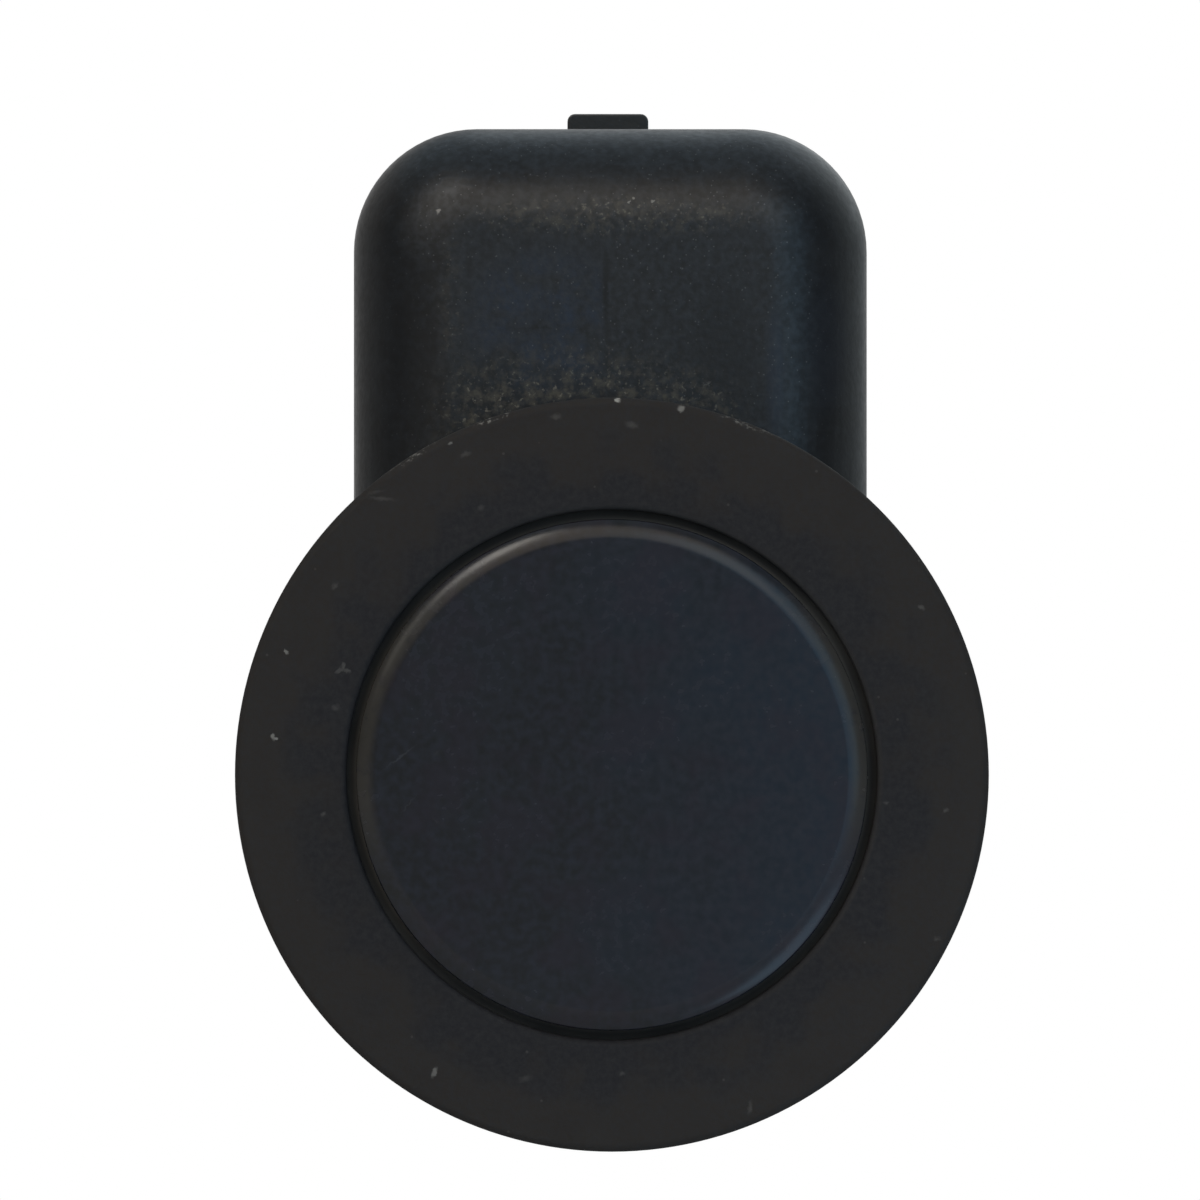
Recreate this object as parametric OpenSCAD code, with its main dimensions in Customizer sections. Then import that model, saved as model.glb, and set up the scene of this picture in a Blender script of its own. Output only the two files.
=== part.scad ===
// Ultrasonic parking sensor: a membrane head in a soft ring, on a housing with a rear plug socket.
// X runs across, the head faces -Y, and Z is up. The origin is on the head's axis, where the ring seats.

/* [Membrane pot] */
// Diameter of the membrane's disc
membrane_d = 15.6; // [14.8:0.1:16.6]
// Thickness of the membrane
membrane_t = 0.9; // [0.6:0.1:1.4]
// Radius of the membrane's rim
membrane_rim_r = 1.2; // [0.8:0.05:1.5]
// Width of the membrane's rim, across which it falls away to the edge
membrane_rim_w = 0.7; // [0.3:0.05:0.8]
// Height of the membrane above the ring's face
membrane_proud = 0.15; // [0.05:0.05:0.5]
// Step from the membrane's edge in to the pot's body
cap_step = 0.5; // [0.3:0.1:0.8]
// Length of the pot
pot_length = 9.2; // [8.4:0.1:11]
// Width of the rear flange beyond the pot's body
pot_flange_w = 0.8; // [0.4:0.1:1.2]
// Thickness of the rear flange
pot_flange_t = 1.4; // [1:0.1:2]
// Long side of the pot's oblong cavity
cavity_long = 11.4; // [10:0.1:12.4]
// Short side of the pot's oblong cavity
cavity_short = 8.4; // [7.8:0.1:9.4]
// Thickness of the ceramic disc
piezo_t = 0.4; // [0.2:0.1:0.8]
// Margin between the ceramic disc and the cavity
piezo_margin = 0.3; // [0.1:0.1:0.8]
// Thickness of the foam pad
foam_t = 3; // [2:0.1:3.6]
// Depth of the filler's face below the pot's rear
filler_recess = 0.6; // [0.2:0.1:1.2]

/* [Decoupling ring] */
// Width of the groove between the membrane and the ring
groove_w = 0.3; // [0.2:0.05:0.6]
// Depth of the groove down to the sleeve's skirt
groove_depth = 0.5; // [0.3:0.05:1.2]
// Width of the ring's flat face
ring_face_w = 3.4; // [3:0.1:4.4]
// Depth of the ring from its face to the housing's shoulder
ring_depth = 6; // [5:0.1:7.5]
// Thickness of the ring's front lip
ring_lip_t = 1.6; // [1.2:0.1:2.2]
// Radius of the ring's outer front edge
ring_edge_r = 0.25; // [0.1:0.05:0.5]
// Radius of the ring's inner front edge
ring_bore_edge_r = 0.2; // [0.05:0.05:0.3]
// Radius of the bead that holds the ring on the collar
bead_r = 0.4; // [0.2:0.05:0.6]

/* [Sleeve and collar] */
// Wall of the silicone sleeve round the pot
sleeve_wall = 1.9; // [1.6:0.1:2.3]
// Thickness of the sleeve's rear lip
sleeve_lip_t = 0.9; // [0.5:0.1:1.5]
// Reach of the sleeve's rear lip inside the pot's body
sleeve_lip_w = 0.8; // [0.4:0.1:1.4]
// Number of grooves round the sleeve
sleeve_grooves = 3; // [1:1:3]
// Depth of a groove round the sleeve
sleeve_groove_d = 0.35; // [0.2:0.05:0.6]
// Width of a groove round the sleeve
sleeve_groove_w = 0.8; // [0.5:0.1:1.2]
// Wall of the housing's collar
collar_wall = 1; // [0.7:0.05:1.3]

/* [Housing] */
// Width of the housing
box_w = 16.2; // [15.4:0.1:18]
// Height of the housing's top above the head's axis
box_rise = 20.2; // [18.6:0.1:23]
// Depth of the housing's bottom below the head's axis
box_drop = 9.6; // [8.8:0.1:10.4]
// Radius of the housing's corners
box_corner_r = 3.9; // [3.4:0.1:4.6]
// Radius of the housing's front edge
box_edge_r = 3.15; // [2.4:0.05:3.6]
// Wall of the housing
box_wall = 1.4; // [1:0.1:1.8]
// Step from the ring's edge in to the round shoulder
shoulder_step = 0.5; // [0.2:0.1:0.9]
// Chamfer of the shoulder's rear edge
shoulder_chamfer = 0.6; // [0.2:0.1:1]
// Thickness of the partition behind the pot
partition_t = 1.2; // [0.8:0.1:1.8]
// Radius of the leads' opening in the partition
lead_opening_r = 3; // [2.4:0.1:3.6]
// Width of the ledges that carry the board
ledge_w = 0.8; // [0.5:0.1:1.2]

/* [Snap lugs and key] */
// Height of a lug above the housing's side
lug_h = 1.6; // [0.8:0.1:2.4]
// Width of a lug
lug_w = 5; // [3:0.1:7]
// Length of a lug's ramp
lug_ramp = 3.2; // [2:0.1:4]
// Length of a lug's flat crest
lug_crest = 0.6; // [0.3:0.1:1.2]
// Gap between the shoulder and a lug
lug_gap = 0.9; // [0.4:0.1:1.5]
// Width of the key under the shoulder
key_w = 3; // [2:0.1:5]
// Height of the key under the shoulder
key_h = 0.4; // [0.2:0.1:0.9]
// Distance of the key from the shoulder's front
key_inset = 1; // [0.5:0.1:2]

/* [Circuit board] */
// Space between the partition and the board
front_bay = 2.2; // [1.8:0.1:3.5]
// Thickness of the board
board_t = 1; // [0.8:0.1:1.6]
// Gap between the board's edge and the housing
board_gap = 0.25; // [0.1:0.05:0.5]
// Space between the tallest component and the cover
cover_headroom = 0.2; // [0.1:0.05:1]
// Gap between neighbouring components
part_gap = 0.8; // [0.5:0.1:1]
// Radius of a lead
lead_r = 0.35; // [0.2:0.05:0.5]
// Distance of a lead from the head's axis
lead_offset = 1.5; // [1:0.1:1.8]
// Rise of a lead from the head's axis to its joint on the board
lead_rise = 2.6; // [2.2:0.1:4]
// Straight end of a lead at the board
lead_tail = 0.3; // [0.1:0.1:0.6]

/* [Components] */
// Side of the transformer's base
transformer_w = 6; // [5.4:0.1:6.6]
// Height of the transformer
transformer_h = 4.1; // [3.4:0.1:5]
// Thickness of the transformer's base
transformer_base_t = 0.7; // [0.5:0.1:1]
// Thickness of the ferrite drum's rims
drum_rim_t = 0.6; // [0.4:0.1:0.9]
// Radius of the ferrite drum's hub
drum_hub_r = 1.3; // [0.9:0.1:1.8]
// Depth of the winding below the drum's rims
coil_inset = 0.3; // [0.1:0.1:0.6]
// Side of the driver chip
chip_w = 5; // [4:0.1:5.6]
// Height of the driver chip
chip_h = 0.9; // [0.6:0.1:1.4]
// Radius of the dimple on the driver chip
chip_dimple_r = 0.3; // [0.2:0.05:0.5]
// Diameter of the storage capacitor
capacitor_d = 4; // [3.2:0.1:4.6]
// Height of the storage capacitor with its base
capacitor_h = 4.5; // [3.8:0.1:5.5]
// Thickness of the storage capacitor's base
capacitor_base_t = 0.8; // [0.5:0.1:1.2]
// Margin of the capacitor's base beyond its can
capacitor_base_margin = 0.15; // [0.1:0.05:0.3]
// Radius of the capacitor's edges
capacitor_edge_r = 0.3; // [0.1:0.1:0.6]
// Length of the diode
diode_l = 4.2; // [3.4:0.1:5]
// Width of the diode
diode_w = 2.6; // [2:0.1:3]
// Height of the diode
diode_h = 2; // [1.4:0.1:2.4]
// Reach of the diode's tabs
diode_tab = 0.5; // [0.3:0.1:0.8]
// Thickness of the diode's tabs
diode_tab_t = 0.2; // [0.1:0.05:0.3]
// Length of a small chip part
smd_l = 1.6; // [1:0.1:1.8]
// Width of a small chip part
smd_w = 0.8; // [0.5:0.1:1]
// Height of a chip capacitor
smd_capacitor_h = 0.8; // [0.4:0.1:1.2]
// Height of a chip resistor
smd_resistor_h = 0.45; // [0.3:0.05:0.6]
// Number of chip capacitors and of chip resistors
smd_count = 4; // [2:1:4]

/* [Rear cover] */
// Thickness of the cover's plate
cover_t = 1.6; // [1.2:0.1:2.4]
// Radius of the cover's rear edge
cover_edge_r = 0.6; // [0.2:0.1:0.9]
// Depth of the lip that locates the cover
cover_lip_l = 1.5; // [1:0.1:2.5]
// Wall of the locating lip
cover_lip_wall = 0.9; // [0.6:0.1:1]
// Radius of the posts that hold the board
post_r = 1; // [0.7:0.1:1.2]
// Distance of the posts from the board's edges
post_inset = 1.5; // [1.3:0.1:1.8]

/* [Connector] */
// Width of the plug's space
socket_w = 10; // [9:0.1:11]
// Height of the plug's space
socket_h = 6; // [5.4:0.1:6.8]
// Radius of the plug space's corners
socket_corner_r = 0.8; // [0.4:0.1:1.5]
// Wall of the connector's shroud
shroud_wall = 1.2; // [0.9:0.1:1.5]
// Length of the shroud behind the cover
shroud_l = 10.5; // [9:0.1:14]
// Distance from the housing's top down to the shroud's top
shroud_drop = 0.4; // [0:0.1:1.2]
// Width of the latch nose
nose_w = 2.7; // [2:0.1:4]
// Height of the latch nose above the shroud
nose_h = 1.75; // [1:0.05:2.2]
// Length of the latch nose's crest
nose_crest = 0.8; // [0.5:0.1:1.5]
// Length of the latch nose's ramp
nose_ramp = 2.6; // [1.5:0.1:3.5]
// Distance from the shroud's mouth to the latch nose
nose_setback = 4; // [2:0.1:5]
// Radius of the latch nose's top corners
nose_corner_r = 0.25; // [0.1:0.05:0.5]
// Width of the shroud's outer guides and inner key
guide_w = 0.9; // [0.6:0.1:1.4]
// Height of the shroud's outer guides and inner key
guide_h = 0.7; // [0.4:0.1:0.9]
// Distance from the shroud's mouth to the guides and the key
guide_setback = 1.5; // [0.5:0.1:3]
// Leg of the gussets under the shroud
gusset_leg = 3; // [2:0.1:4]
// Thickness of the gussets
gusset_t = 1; // [0.7:0.1:1.4]
// Side of a pin
pin_w = 0.64; // [0.5:0.02:0.8]
// Distance between pins
pin_pitch = 2.54; // [2:0.01:3]
// Length of a pin inside the socket
pin_reach = 5.6; // [4:0.1:7.5]
// Length of a pin in front of the board
pin_tail = 0.8; // [0.5:0.1:1.2]
// Length of a pin's tapered tip
pin_taper = 0.8; // [0.4:0.1:1.4]
// Gap between a pin and its hole in the board
pin_hole_gap = 0.07; // [0.05:0.01:0.2]
// Wall of the boss round the pins
boss_wall = 1; // [0.7:0.1:1.4]
// Depth of the boss round the pins
boss_l = 2; // [1:0.1:2.6]

/* [Fits] */
// Clearance between pieces that nest in one another
fit = 0.05; // [0.02:0.01:0.1]

/* [Hidden] */
$fn = 64;
// Overrun of a cut past the face it opens
over = 1;

// Radii of the head, from the membrane outwards
membrane_r = membrane_d / 2;
pot_r = membrane_r - cap_step;
flange_r = pot_r + pot_flange_w;
sleeve_r = pot_r + sleeve_wall;
bore_r = sleeve_r + fit;
collar_r = bore_r + collar_wall;
ring_bore_r = membrane_r + groove_w;
ring_r = ring_bore_r + ring_face_w;
shoulder_r = ring_r - shoulder_step;
piezo_r = cavity_short / 2 - piezo_margin;

// Places along the head's axis, from front to rear
y_ring = -ring_depth;
y_membrane = y_ring - membrane_proud;
y_lip = y_ring + ring_lip_t;
y_bead = y_lip / 2;
y_piezo = y_membrane + membrane_t;
y_foam = y_piezo + piezo_t;
y_filler = y_foam + foam_t;
y_pot_end = y_membrane + pot_length;
y_flange = y_pot_end - pot_flange_t;
y_bore_end = y_pot_end + sleeve_lip_t;
y_partition_end = y_bore_end + partition_t;
y_board = y_partition_end + front_bay;
y_board_end = y_board + board_t;
y_cover = y_board_end + max(transformer_h, capacitor_h) + cover_headroom;
y_cover_end = y_cover + cover_t;
y_mouth = y_cover_end + shroud_l;

// Sizes and heights of the housing and what fills it
box_h = box_rise + box_drop;
box_z = (box_rise - box_drop) / 2;
board_inset = box_wall + board_gap;
board_w = box_w - 2 * board_inset;
board_h = box_h - 2 * board_inset;
board_low = -box_drop + board_inset;
capacitor_base_w = capacitor_d + 2 * capacitor_base_margin;
transformer_z = board_low + part_gap + transformer_w / 2;
chip_z = transformer_z + transformer_w / 2 + part_gap + chip_w / 2;
capacitor_z = chip_z + chip_w / 2 + part_gap + capacitor_base_w / 2;
diode_z = capacitor_z + capacitor_base_w / 2 + part_gap + diode_w / 2;
smd_pitch = smd_w + part_gap;
filter_row_z = -lead_opening_r - smd_l / 2;
resistor_row_z = filter_row_z - smd_l - part_gap / 2;
drum_r = transformer_w / 2 - fit;
drum_l = transformer_h - transformer_base_t;
lead_bend_r = (front_bay - lead_tail) / 2 - fit;

// Sizes and heights of the connector
shroud_w = socket_w + 2 * shroud_wall;
shroud_h = socket_h + 2 * shroud_wall;
shroud_corner_r = socket_corner_r + shroud_wall;
shroud_top = box_rise - shroud_drop;
connector_z = shroud_top - shroud_h / 2;
y_nose_end = y_mouth - nose_setback;
y_nose = y_nose_end - nose_ramp - nose_crest;
y_pin_tip = y_cover_end + pin_reach;
pin_hole_r = pin_w * sqrt(2) / 2 + pin_hole_gap;

// Extrudes an outline in X and Z from one place along Y to another
module along_y(from, to) {
    translate([0, to, 0]) rotate([90, 0, 0]) linear_extrude(to - from) children();
}

// Extrudes an outline in Y and Z across X, about the middle
module across_x(width) {
    rotate([90, 0, 90]) linear_extrude(width, center = true) children();
}

// Turns a half-section, radius by place along Y, about the head's axis
module turned() {
    rotate([-90, 0, 0]) rotate_extrude() children();
}

// Stands a shape that is drawn on a table on the board's rear face
module on_board_rear(z) {
    translate([0, y_board_end, z]) rotate([-90, 0, 0]) children();
}

// Stands a shape that is drawn on a table on the board's front face
module on_board_front(x, z) {
    translate([x, y_board, z]) rotate([90, 0, 0]) children();
}

// Block on a table, centred over its base
module block(width, length, height) {
    translate([-width / 2, -length / 2, 0]) cube([width, length, height]);
}

// Half-section of a disc or wall, with its outer top edge round
module edge_section(reach, height, r) {
    square([reach - r, height]);
    square([reach, height - r]);
    translate([reach - r, height - r]) intersection() {
        circle(r);
        square(r);
    }
}

// Rectangle with round corners
module round_rect(width, height, r) {
    square([width - 2 * r, height], center = true);
    square([width, height - 2 * r], center = true);
    for (x = [-1, 1], y = [-1, 1]) {
        translate([x * (width / 2 - r), y * (height / 2 - r)]) circle(r);
    }
}

// Oblong with round ends, long side upright
module oblong(long, short) {
    square([short, long - short], center = true);
    for (side = [-1, 1]) translate([0, side * (long - short) / 2]) circle(short / 2);
}

// Block on a table with round corners and a round top edge
module soft_block(width, length, corner_r, height, edge_r) {
    x = width / 2 - corner_r;
    y = length / 2 - corner_r;
    block(2 * x, 2 * y, height);
    for (quarter = [0 : 3]) {
        side_x = quarter == 0 || quarter == 3 ? x : -x;
        side_y = quarter < 2 ? y : -y;
        translate([side_x, side_y, 0]) rotate(90 * quarter) {
            rotate_extrude(angle = 90) edge_section(corner_r, height, edge_r);
        }
    }
    for (half = [0, 180]) rotate(half) {
        translate([x, y, 0]) rotate([90, 0, 0]) linear_extrude(2 * y) edge_section(corner_r, height, edge_r);
        translate([-x, y, 0]) rotate([90, 0, 90]) linear_extrude(2 * x) edge_section(corner_r, height, edge_r);
    }
}

// Places both leads' holes through a piece of the pot
module lead_holes(from, to) {
    for (side = [-1, 1]) {
        along_y(from - over, to + over) translate([side * lead_offset, 0]) circle(lead_r + fit);
    }
}

// Places what repeats at each pin
module at_pins() {
    for (i = [-1 : 1]) translate([i * pin_pitch, 0, connector_z]) children();
}

module decoupling_ring() {
    color([0.16, 0.155, 0.15]) turned() difference() {
        translate([ring_bore_r, 0]) mirror([0, 1]) edge_section(ring_face_w, ring_depth, ring_edge_r);
        translate([0, y_lip]) square([collar_r + fit, over - y_lip]);
        translate([collar_r, y_bead]) circle(bead_r + fit);
        translate([ring_bore_r, y_ring]) difference() {
            square(ring_bore_edge_r);
            translate([ring_bore_edge_r, ring_bore_edge_r]) circle(ring_bore_edge_r);
        }
    }
}

module membrane_pot() {
    color([0.14, 0.15, 0.17]) difference() {
        turned() {
            translate([0, y_lip]) mirror([0, 1]) intersection() {
                edge_section(membrane_r - membrane_rim_w + membrane_rim_r, y_lip - y_membrane, membrane_rim_r);
                square([membrane_r, y_lip - y_membrane]);
            }
            translate([0, y_lip]) square([pot_r, y_pot_end - y_lip]);
            translate([0, y_flange]) square([flange_r, pot_flange_t]);
        }
        along_y(y_piezo, y_pot_end + over) oblong(cavity_long, cavity_short);
    }
}

module pot_sleeve() {
    groove_step = (y_flange - y_lip) / (sleeve_grooves + 1);
    color([0.3, 0.31, 0.32]) turned() difference() {
        union() {
            translate([0, y_lip]) square([sleeve_r, y_bore_end - y_lip]);
            translate([membrane_r, y_ring + groove_depth]) square([groove_w, ring_lip_t - groove_depth]);
        }
        translate([0, y_lip - over]) square([pot_r + fit, y_pot_end - y_lip + over]);
        translate([0, y_flange]) square([flange_r + fit, pot_flange_t]);
        translate([0, y_pot_end - over]) square([pot_r - sleeve_lip_w, sleeve_lip_t + 2 * over]);
        for (i = [1 : sleeve_grooves]) {
            translate([sleeve_r - sleeve_groove_d, y_lip + i * groove_step - sleeve_groove_w / 2]) {
                square([sleeve_groove_d + over, sleeve_groove_w]);
            }
        }
    }
}

module piezo_disc() {
    color([0.75, 0.72, 0.62]) along_y(y_piezo, y_foam) circle(piezo_r);
}

module damping_foam() {
    color([0.35, 0.35, 0.36]) difference() {
        along_y(y_foam, y_filler) oblong(cavity_long - 2 * fit, cavity_short - 2 * fit);
        lead_holes(y_foam, y_filler);
    }
}

module pot_filler() {
    color([0.55, 0.56, 0.58]) difference() {
        along_y(y_filler, y_pot_end - filler_recess) oblong(cavity_long - 2 * fit, cavity_short - 2 * fit);
        lead_holes(y_filler, y_pot_end - filler_recess);
    }
}

// Lead from the ceramic to the board, with two bends that take it up
module lead() {
    y_bend = y_board - lead_tail - 2 * lead_bend_r;
    along_y(y_foam, y_bend) circle(lead_r);
    translate([0, y_bend, lead_bend_r]) rotate([0, 90, 0]) rotate_extrude(angle = 90) {
        translate([lead_bend_r, 0]) circle(lead_r);
    }
    translate([0, y_bend + lead_bend_r, lead_bend_r]) cylinder(lead_rise - 2 * lead_bend_r, lead_r, lead_r);
    translate([0, y_bend + 2 * lead_bend_r, lead_rise - lead_bend_r]) rotate([180, -90, 0]) {
        rotate_extrude(angle = 90) translate([lead_bend_r, 0]) circle(lead_r);
    }
    translate([0, 0, lead_rise]) along_y(y_board - lead_tail, y_board) circle(lead_r);
}

module live_lead() {
    color([0.6, 0.1, 0.08]) translate([lead_offset, 0, 0]) lead();
}

module ground_lead() {
    color([0.08, 0.08, 0.08]) translate([-lead_offset, 0, 0]) lead();
}

// Outside of the round head: collar with its bead, then the shoulder
module head_section() {
    translate([0, y_lip]) square([collar_r, y_partition_end - y_lip]);
    translate([collar_r, y_bead]) circle(bead_r);
    square([shoulder_r, y_partition_end - shoulder_chamfer]);
    polygon([
        [0, y_partition_end],
        [shoulder_r - shoulder_chamfer, y_partition_end],
        [shoulder_r, y_partition_end - shoulder_chamfer],
        [0, y_partition_end - shoulder_chamfer],
    ]);
}

// Ramped lug on the housing's side that snaps behind a holder's arm
module snap_lug() {
    x = box_w / 2;
    y = y_partition_end + lug_gap;
    linear_extrude(lug_w, center = true) polygon([
        [x - box_wall / 2, y],
        [x, y],
        [x + lug_h, y + lug_ramp],
        [x + lug_h, y + lug_ramp + lug_crest],
        [x - box_wall / 2, y + lug_ramp + lug_crest],
    ]);
}

// Ledges along the housing's sides that carry the board
module board_ledges() {
    length = box_h - 2 * box_corner_r;
    for (side = [-1, 1]) {
        translate([side * (box_w / 2 - box_wall - ledge_w / 2), box_wall, box_z]) {
            rotate([-90, 0, 0]) block(ledge_w, length, y_board - box_wall);
        }
    }
}

module housing() {
    inner_w = box_w - 2 * box_wall;
    inner_h = box_h - 2 * box_wall;
    inner_corner_r = box_corner_r - box_wall;
    inner_edge_r = box_edge_r - box_wall;
    color([0.13, 0.14, 0.15]) difference() {
        union() {
            difference() {
                union() {
                    translate([0, y_cover, box_z]) rotate([90, 0, 0]) {
                        soft_block(box_w, box_h, box_corner_r, y_cover, box_edge_r);
                    }
                    turned() head_section();
                    translate([0, key_inset, -(shoulder_r + key_h) / 2]) rotate([-90, 0, 0]) {
                        block(key_w, shoulder_r + key_h, y_partition_end - key_inset - shoulder_chamfer);
                    }
                }
                difference() {
                    translate([0, y_cover + over, box_z]) rotate([90, 0, 0]) {
                        soft_block(inner_w, inner_h, inner_corner_r, y_cover + over - box_wall, inner_edge_r);
                    }
                    along_y(-over, y_partition_end) circle(collar_r);
                }
            }
            for (side = [0, 1]) mirror([side, 0, 0]) snap_lug();
            board_ledges();
        }
        along_y(y_lip - over, y_bore_end) circle(bore_r);
        along_y(y_bore_end - over, y_partition_end + over) circle(lead_opening_r);
    }
}

// Latch nose on the shroud, with its ramp to the mouth
module latch_nose() {
    low = shroud_top - shroud_wall / 2;
    high = shroud_top + nose_h;
    intersection() {
        across_x(nose_w) polygon([
            [y_nose, low],
            [y_nose, high],
            [y_nose + nose_crest, high],
            [y_nose_end, shroud_top],
            [y_nose_end, low],
        ]);
        along_y(y_nose - over, y_nose_end + over) translate([0, shroud_top]) {
            round_rect(nose_w, 2 * nose_h, nose_corner_r);
        }
    }
}

// Outer guides, inner key and gussets of the shroud
module shroud_ribs() {
    for (side = [-1, 1]) {
        translate([side * shroud_w / 2, y_cover, connector_z]) {
            rotate([-90, 0, 0]) block(2 * guide_h, guide_w, y_mouth - guide_setback - y_cover);
        }
        translate([side * pin_pitch, 0, 0]) across_x(gusset_t) polygon([
            [y_cover_end - cover_t / 2, connector_z - shroud_h / 2 - gusset_leg],
            [y_cover_end, connector_z - shroud_h / 2 - gusset_leg],
            [y_cover_end + gusset_leg, connector_z - shroud_h / 2],
            [y_cover_end + gusset_leg, connector_z - shroud_h / 2 + shroud_wall / 2],
            [y_cover_end - cover_t / 2, connector_z - shroud_h / 2 + shroud_wall / 2],
        ]);
    }
}

module rear_cover() {
    lip_w = box_w - 2 * box_wall - 2 * fit;
    lip_h = box_h - 2 * box_wall - 2 * fit;
    lip_r = box_corner_r - box_wall - fit;
    color([0.15, 0.15, 0.16]) difference() {
        union() {
            difference() {
                union() {
                    translate([0, y_cover, box_z]) rotate([-90, 0, 0]) {
                        soft_block(box_w, box_h, box_corner_r, cover_t, cover_edge_r);
                    }
                    along_y(y_cover, y_mouth) translate([0, connector_z]) {
                        round_rect(shroud_w, shroud_h, shroud_corner_r);
                    }
                    shroud_ribs();
                    latch_nose();
                }
                along_y(y_cover_end, y_mouth + over) translate([0, connector_z]) {
                    round_rect(socket_w, socket_h, socket_corner_r);
                }
            }
            along_y(y_cover - cover_lip_l, y_cover) translate([0, box_z]) difference() {
                round_rect(lip_w, lip_h, lip_r);
                round_rect(lip_w - 2 * cover_lip_wall, lip_h - 2 * cover_lip_wall, lip_r - cover_lip_wall);
            }
            for (x = [-1, 1], z = [-1, 1]) along_y(y_board_end, y_cover) translate([0, box_z]) {
                translate([x * (board_w / 2 - post_inset), z * (board_h / 2 - post_inset)]) circle(post_r);
            }
            translate([0, y_cover - boss_l, connector_z]) rotate([-90, 0, 0]) {
                block(2 * pin_pitch + pin_w + 2 * boss_wall, pin_w + 2 * boss_wall, boss_l);
            }
            translate([0, y_cover_end - cover_t / 2, connector_z - socket_h / 2]) rotate([-90, 0, 0]) {
                block(guide_w, 2 * guide_h, y_mouth - guide_setback - y_cover_end + cover_t / 2);
            }
        }
        at_pins() translate([0, y_cover - boss_l - over, 0]) rotate([-90, 0, 0]) {
            block(pin_w, pin_w, boss_l + cover_t + 2 * over);
        }
    }
}

module circuit_board() {
    color([0.08, 0.3, 0.16]) difference() {
        along_y(y_board, y_board_end) translate([0, box_z]) {
            round_rect(board_w, board_h, box_corner_r - board_inset);
        }
        at_pins() along_y(y_board - over, y_board_end + over) circle(pin_hole_r);
    }
}

module asic_chip() {
    dimple_at = chip_w / 2 - 2 * chip_dimple_r;
    color([0.12, 0.12, 0.13]) on_board_rear(chip_z) difference() {
        block(chip_w, chip_w, chip_h);
        translate([-dimple_at, -dimple_at, chip_h - chip_dimple_r / 2]) cylinder(over, chip_dimple_r, chip_dimple_r);
    }
}

module transformer_base() {
    color([0.2, 0.2, 0.2]) on_board_rear(transformer_z) block(transformer_w, transformer_w, transformer_base_t);
}

module transformer_core() {
    color([0.25, 0.25, 0.27]) on_board_rear(transformer_z) rotate_extrude() {
        translate([0, transformer_base_t]) square([drum_r, drum_rim_t]);
        translate([0, transformer_base_t]) square([drum_hub_r, drum_l]);
        translate([0, transformer_h - drum_rim_t]) square([drum_r, drum_rim_t]);
    }
}

module transformer_coil() {
    color([0.72, 0.35, 0.15]) on_board_rear(transformer_z) rotate_extrude() {
        translate([drum_hub_r + fit, transformer_base_t + drum_rim_t]) {
            square([drum_r - coil_inset - drum_hub_r - fit, drum_l - 2 * drum_rim_t]);
        }
    }
}

module storage_capacitor() {
    color([0.78, 0.79, 0.8]) on_board_rear(capacitor_z) translate([0, 0, capacitor_base_t]) {
        rotate_extrude() edge_section(capacitor_d / 2, capacitor_h - capacitor_base_t, capacitor_edge_r);
    }
}

module capacitor_base() {
    color([0.1, 0.1, 0.1]) on_board_rear(capacitor_z) block(capacitor_base_w, capacitor_base_w, capacitor_base_t);
}

module protection_diode() {
    color([0.1, 0.1, 0.11]) on_board_rear(diode_z) {
        block(diode_l, diode_w, diode_h);
        block(diode_l + 2 * diode_tab, diode_w / 2, diode_tab_t);
    }
}

module filter_capacitor(i) {
    x = (i - (smd_count + 1) / 2) * smd_pitch;
    color([0.62, 0.5, 0.36]) on_board_front(x, filter_row_z) block(smd_w, smd_l, smd_capacitor_h);
}

module chip_resistor(i) {
    x = (i - (smd_count + 1) / 2) * smd_pitch;
    color([0.1, 0.1, 0.1]) on_board_front(x, resistor_row_z) block(smd_w, smd_l, smd_resistor_h);
}

// Square pin from the board into the socket, tapered at its tip
module pin(place) {
    outline = [
        [y_board - pin_tail, pin_w / 2],
        [y_pin_tip - pin_taper, pin_w / 2],
        [y_pin_tip, pin_w / 4],
        [y_pin_tip, -pin_w / 4],
        [y_pin_tip - pin_taper, -pin_w / 2],
        [y_board - pin_tail, -pin_w / 2],
    ];
    color([0.8, 0.78, 0.7]) translate([place * pin_pitch, 0, connector_z]) intersection() {
        across_x(pin_w) polygon(outline);
        linear_extrude(pin_w, center = true) polygon([for (p = outline) [p[1], p[0]]]);
    }
}

decoupling_ring();
membrane_pot();
pot_sleeve();
piezo_disc();
damping_foam();
pot_filler();
live_lead();
ground_lead();
housing();
rear_cover();
circuit_board();
asic_chip();
transformer_base();
transformer_core();
transformer_coil();
storage_capacitor();
capacitor_base();
protection_diode();
pin(-1);  // supply_pin
pin(0);  // signal_pin
pin(1);  // ground_pin
for (i = [1 : smd_count]) {
    filter_capacitor(i);
    chip_resistor(i);
}
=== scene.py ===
"""Parking sensor: the looks of its soft ring, painted membrane, moulded housing and rear cover."""

import math

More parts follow.
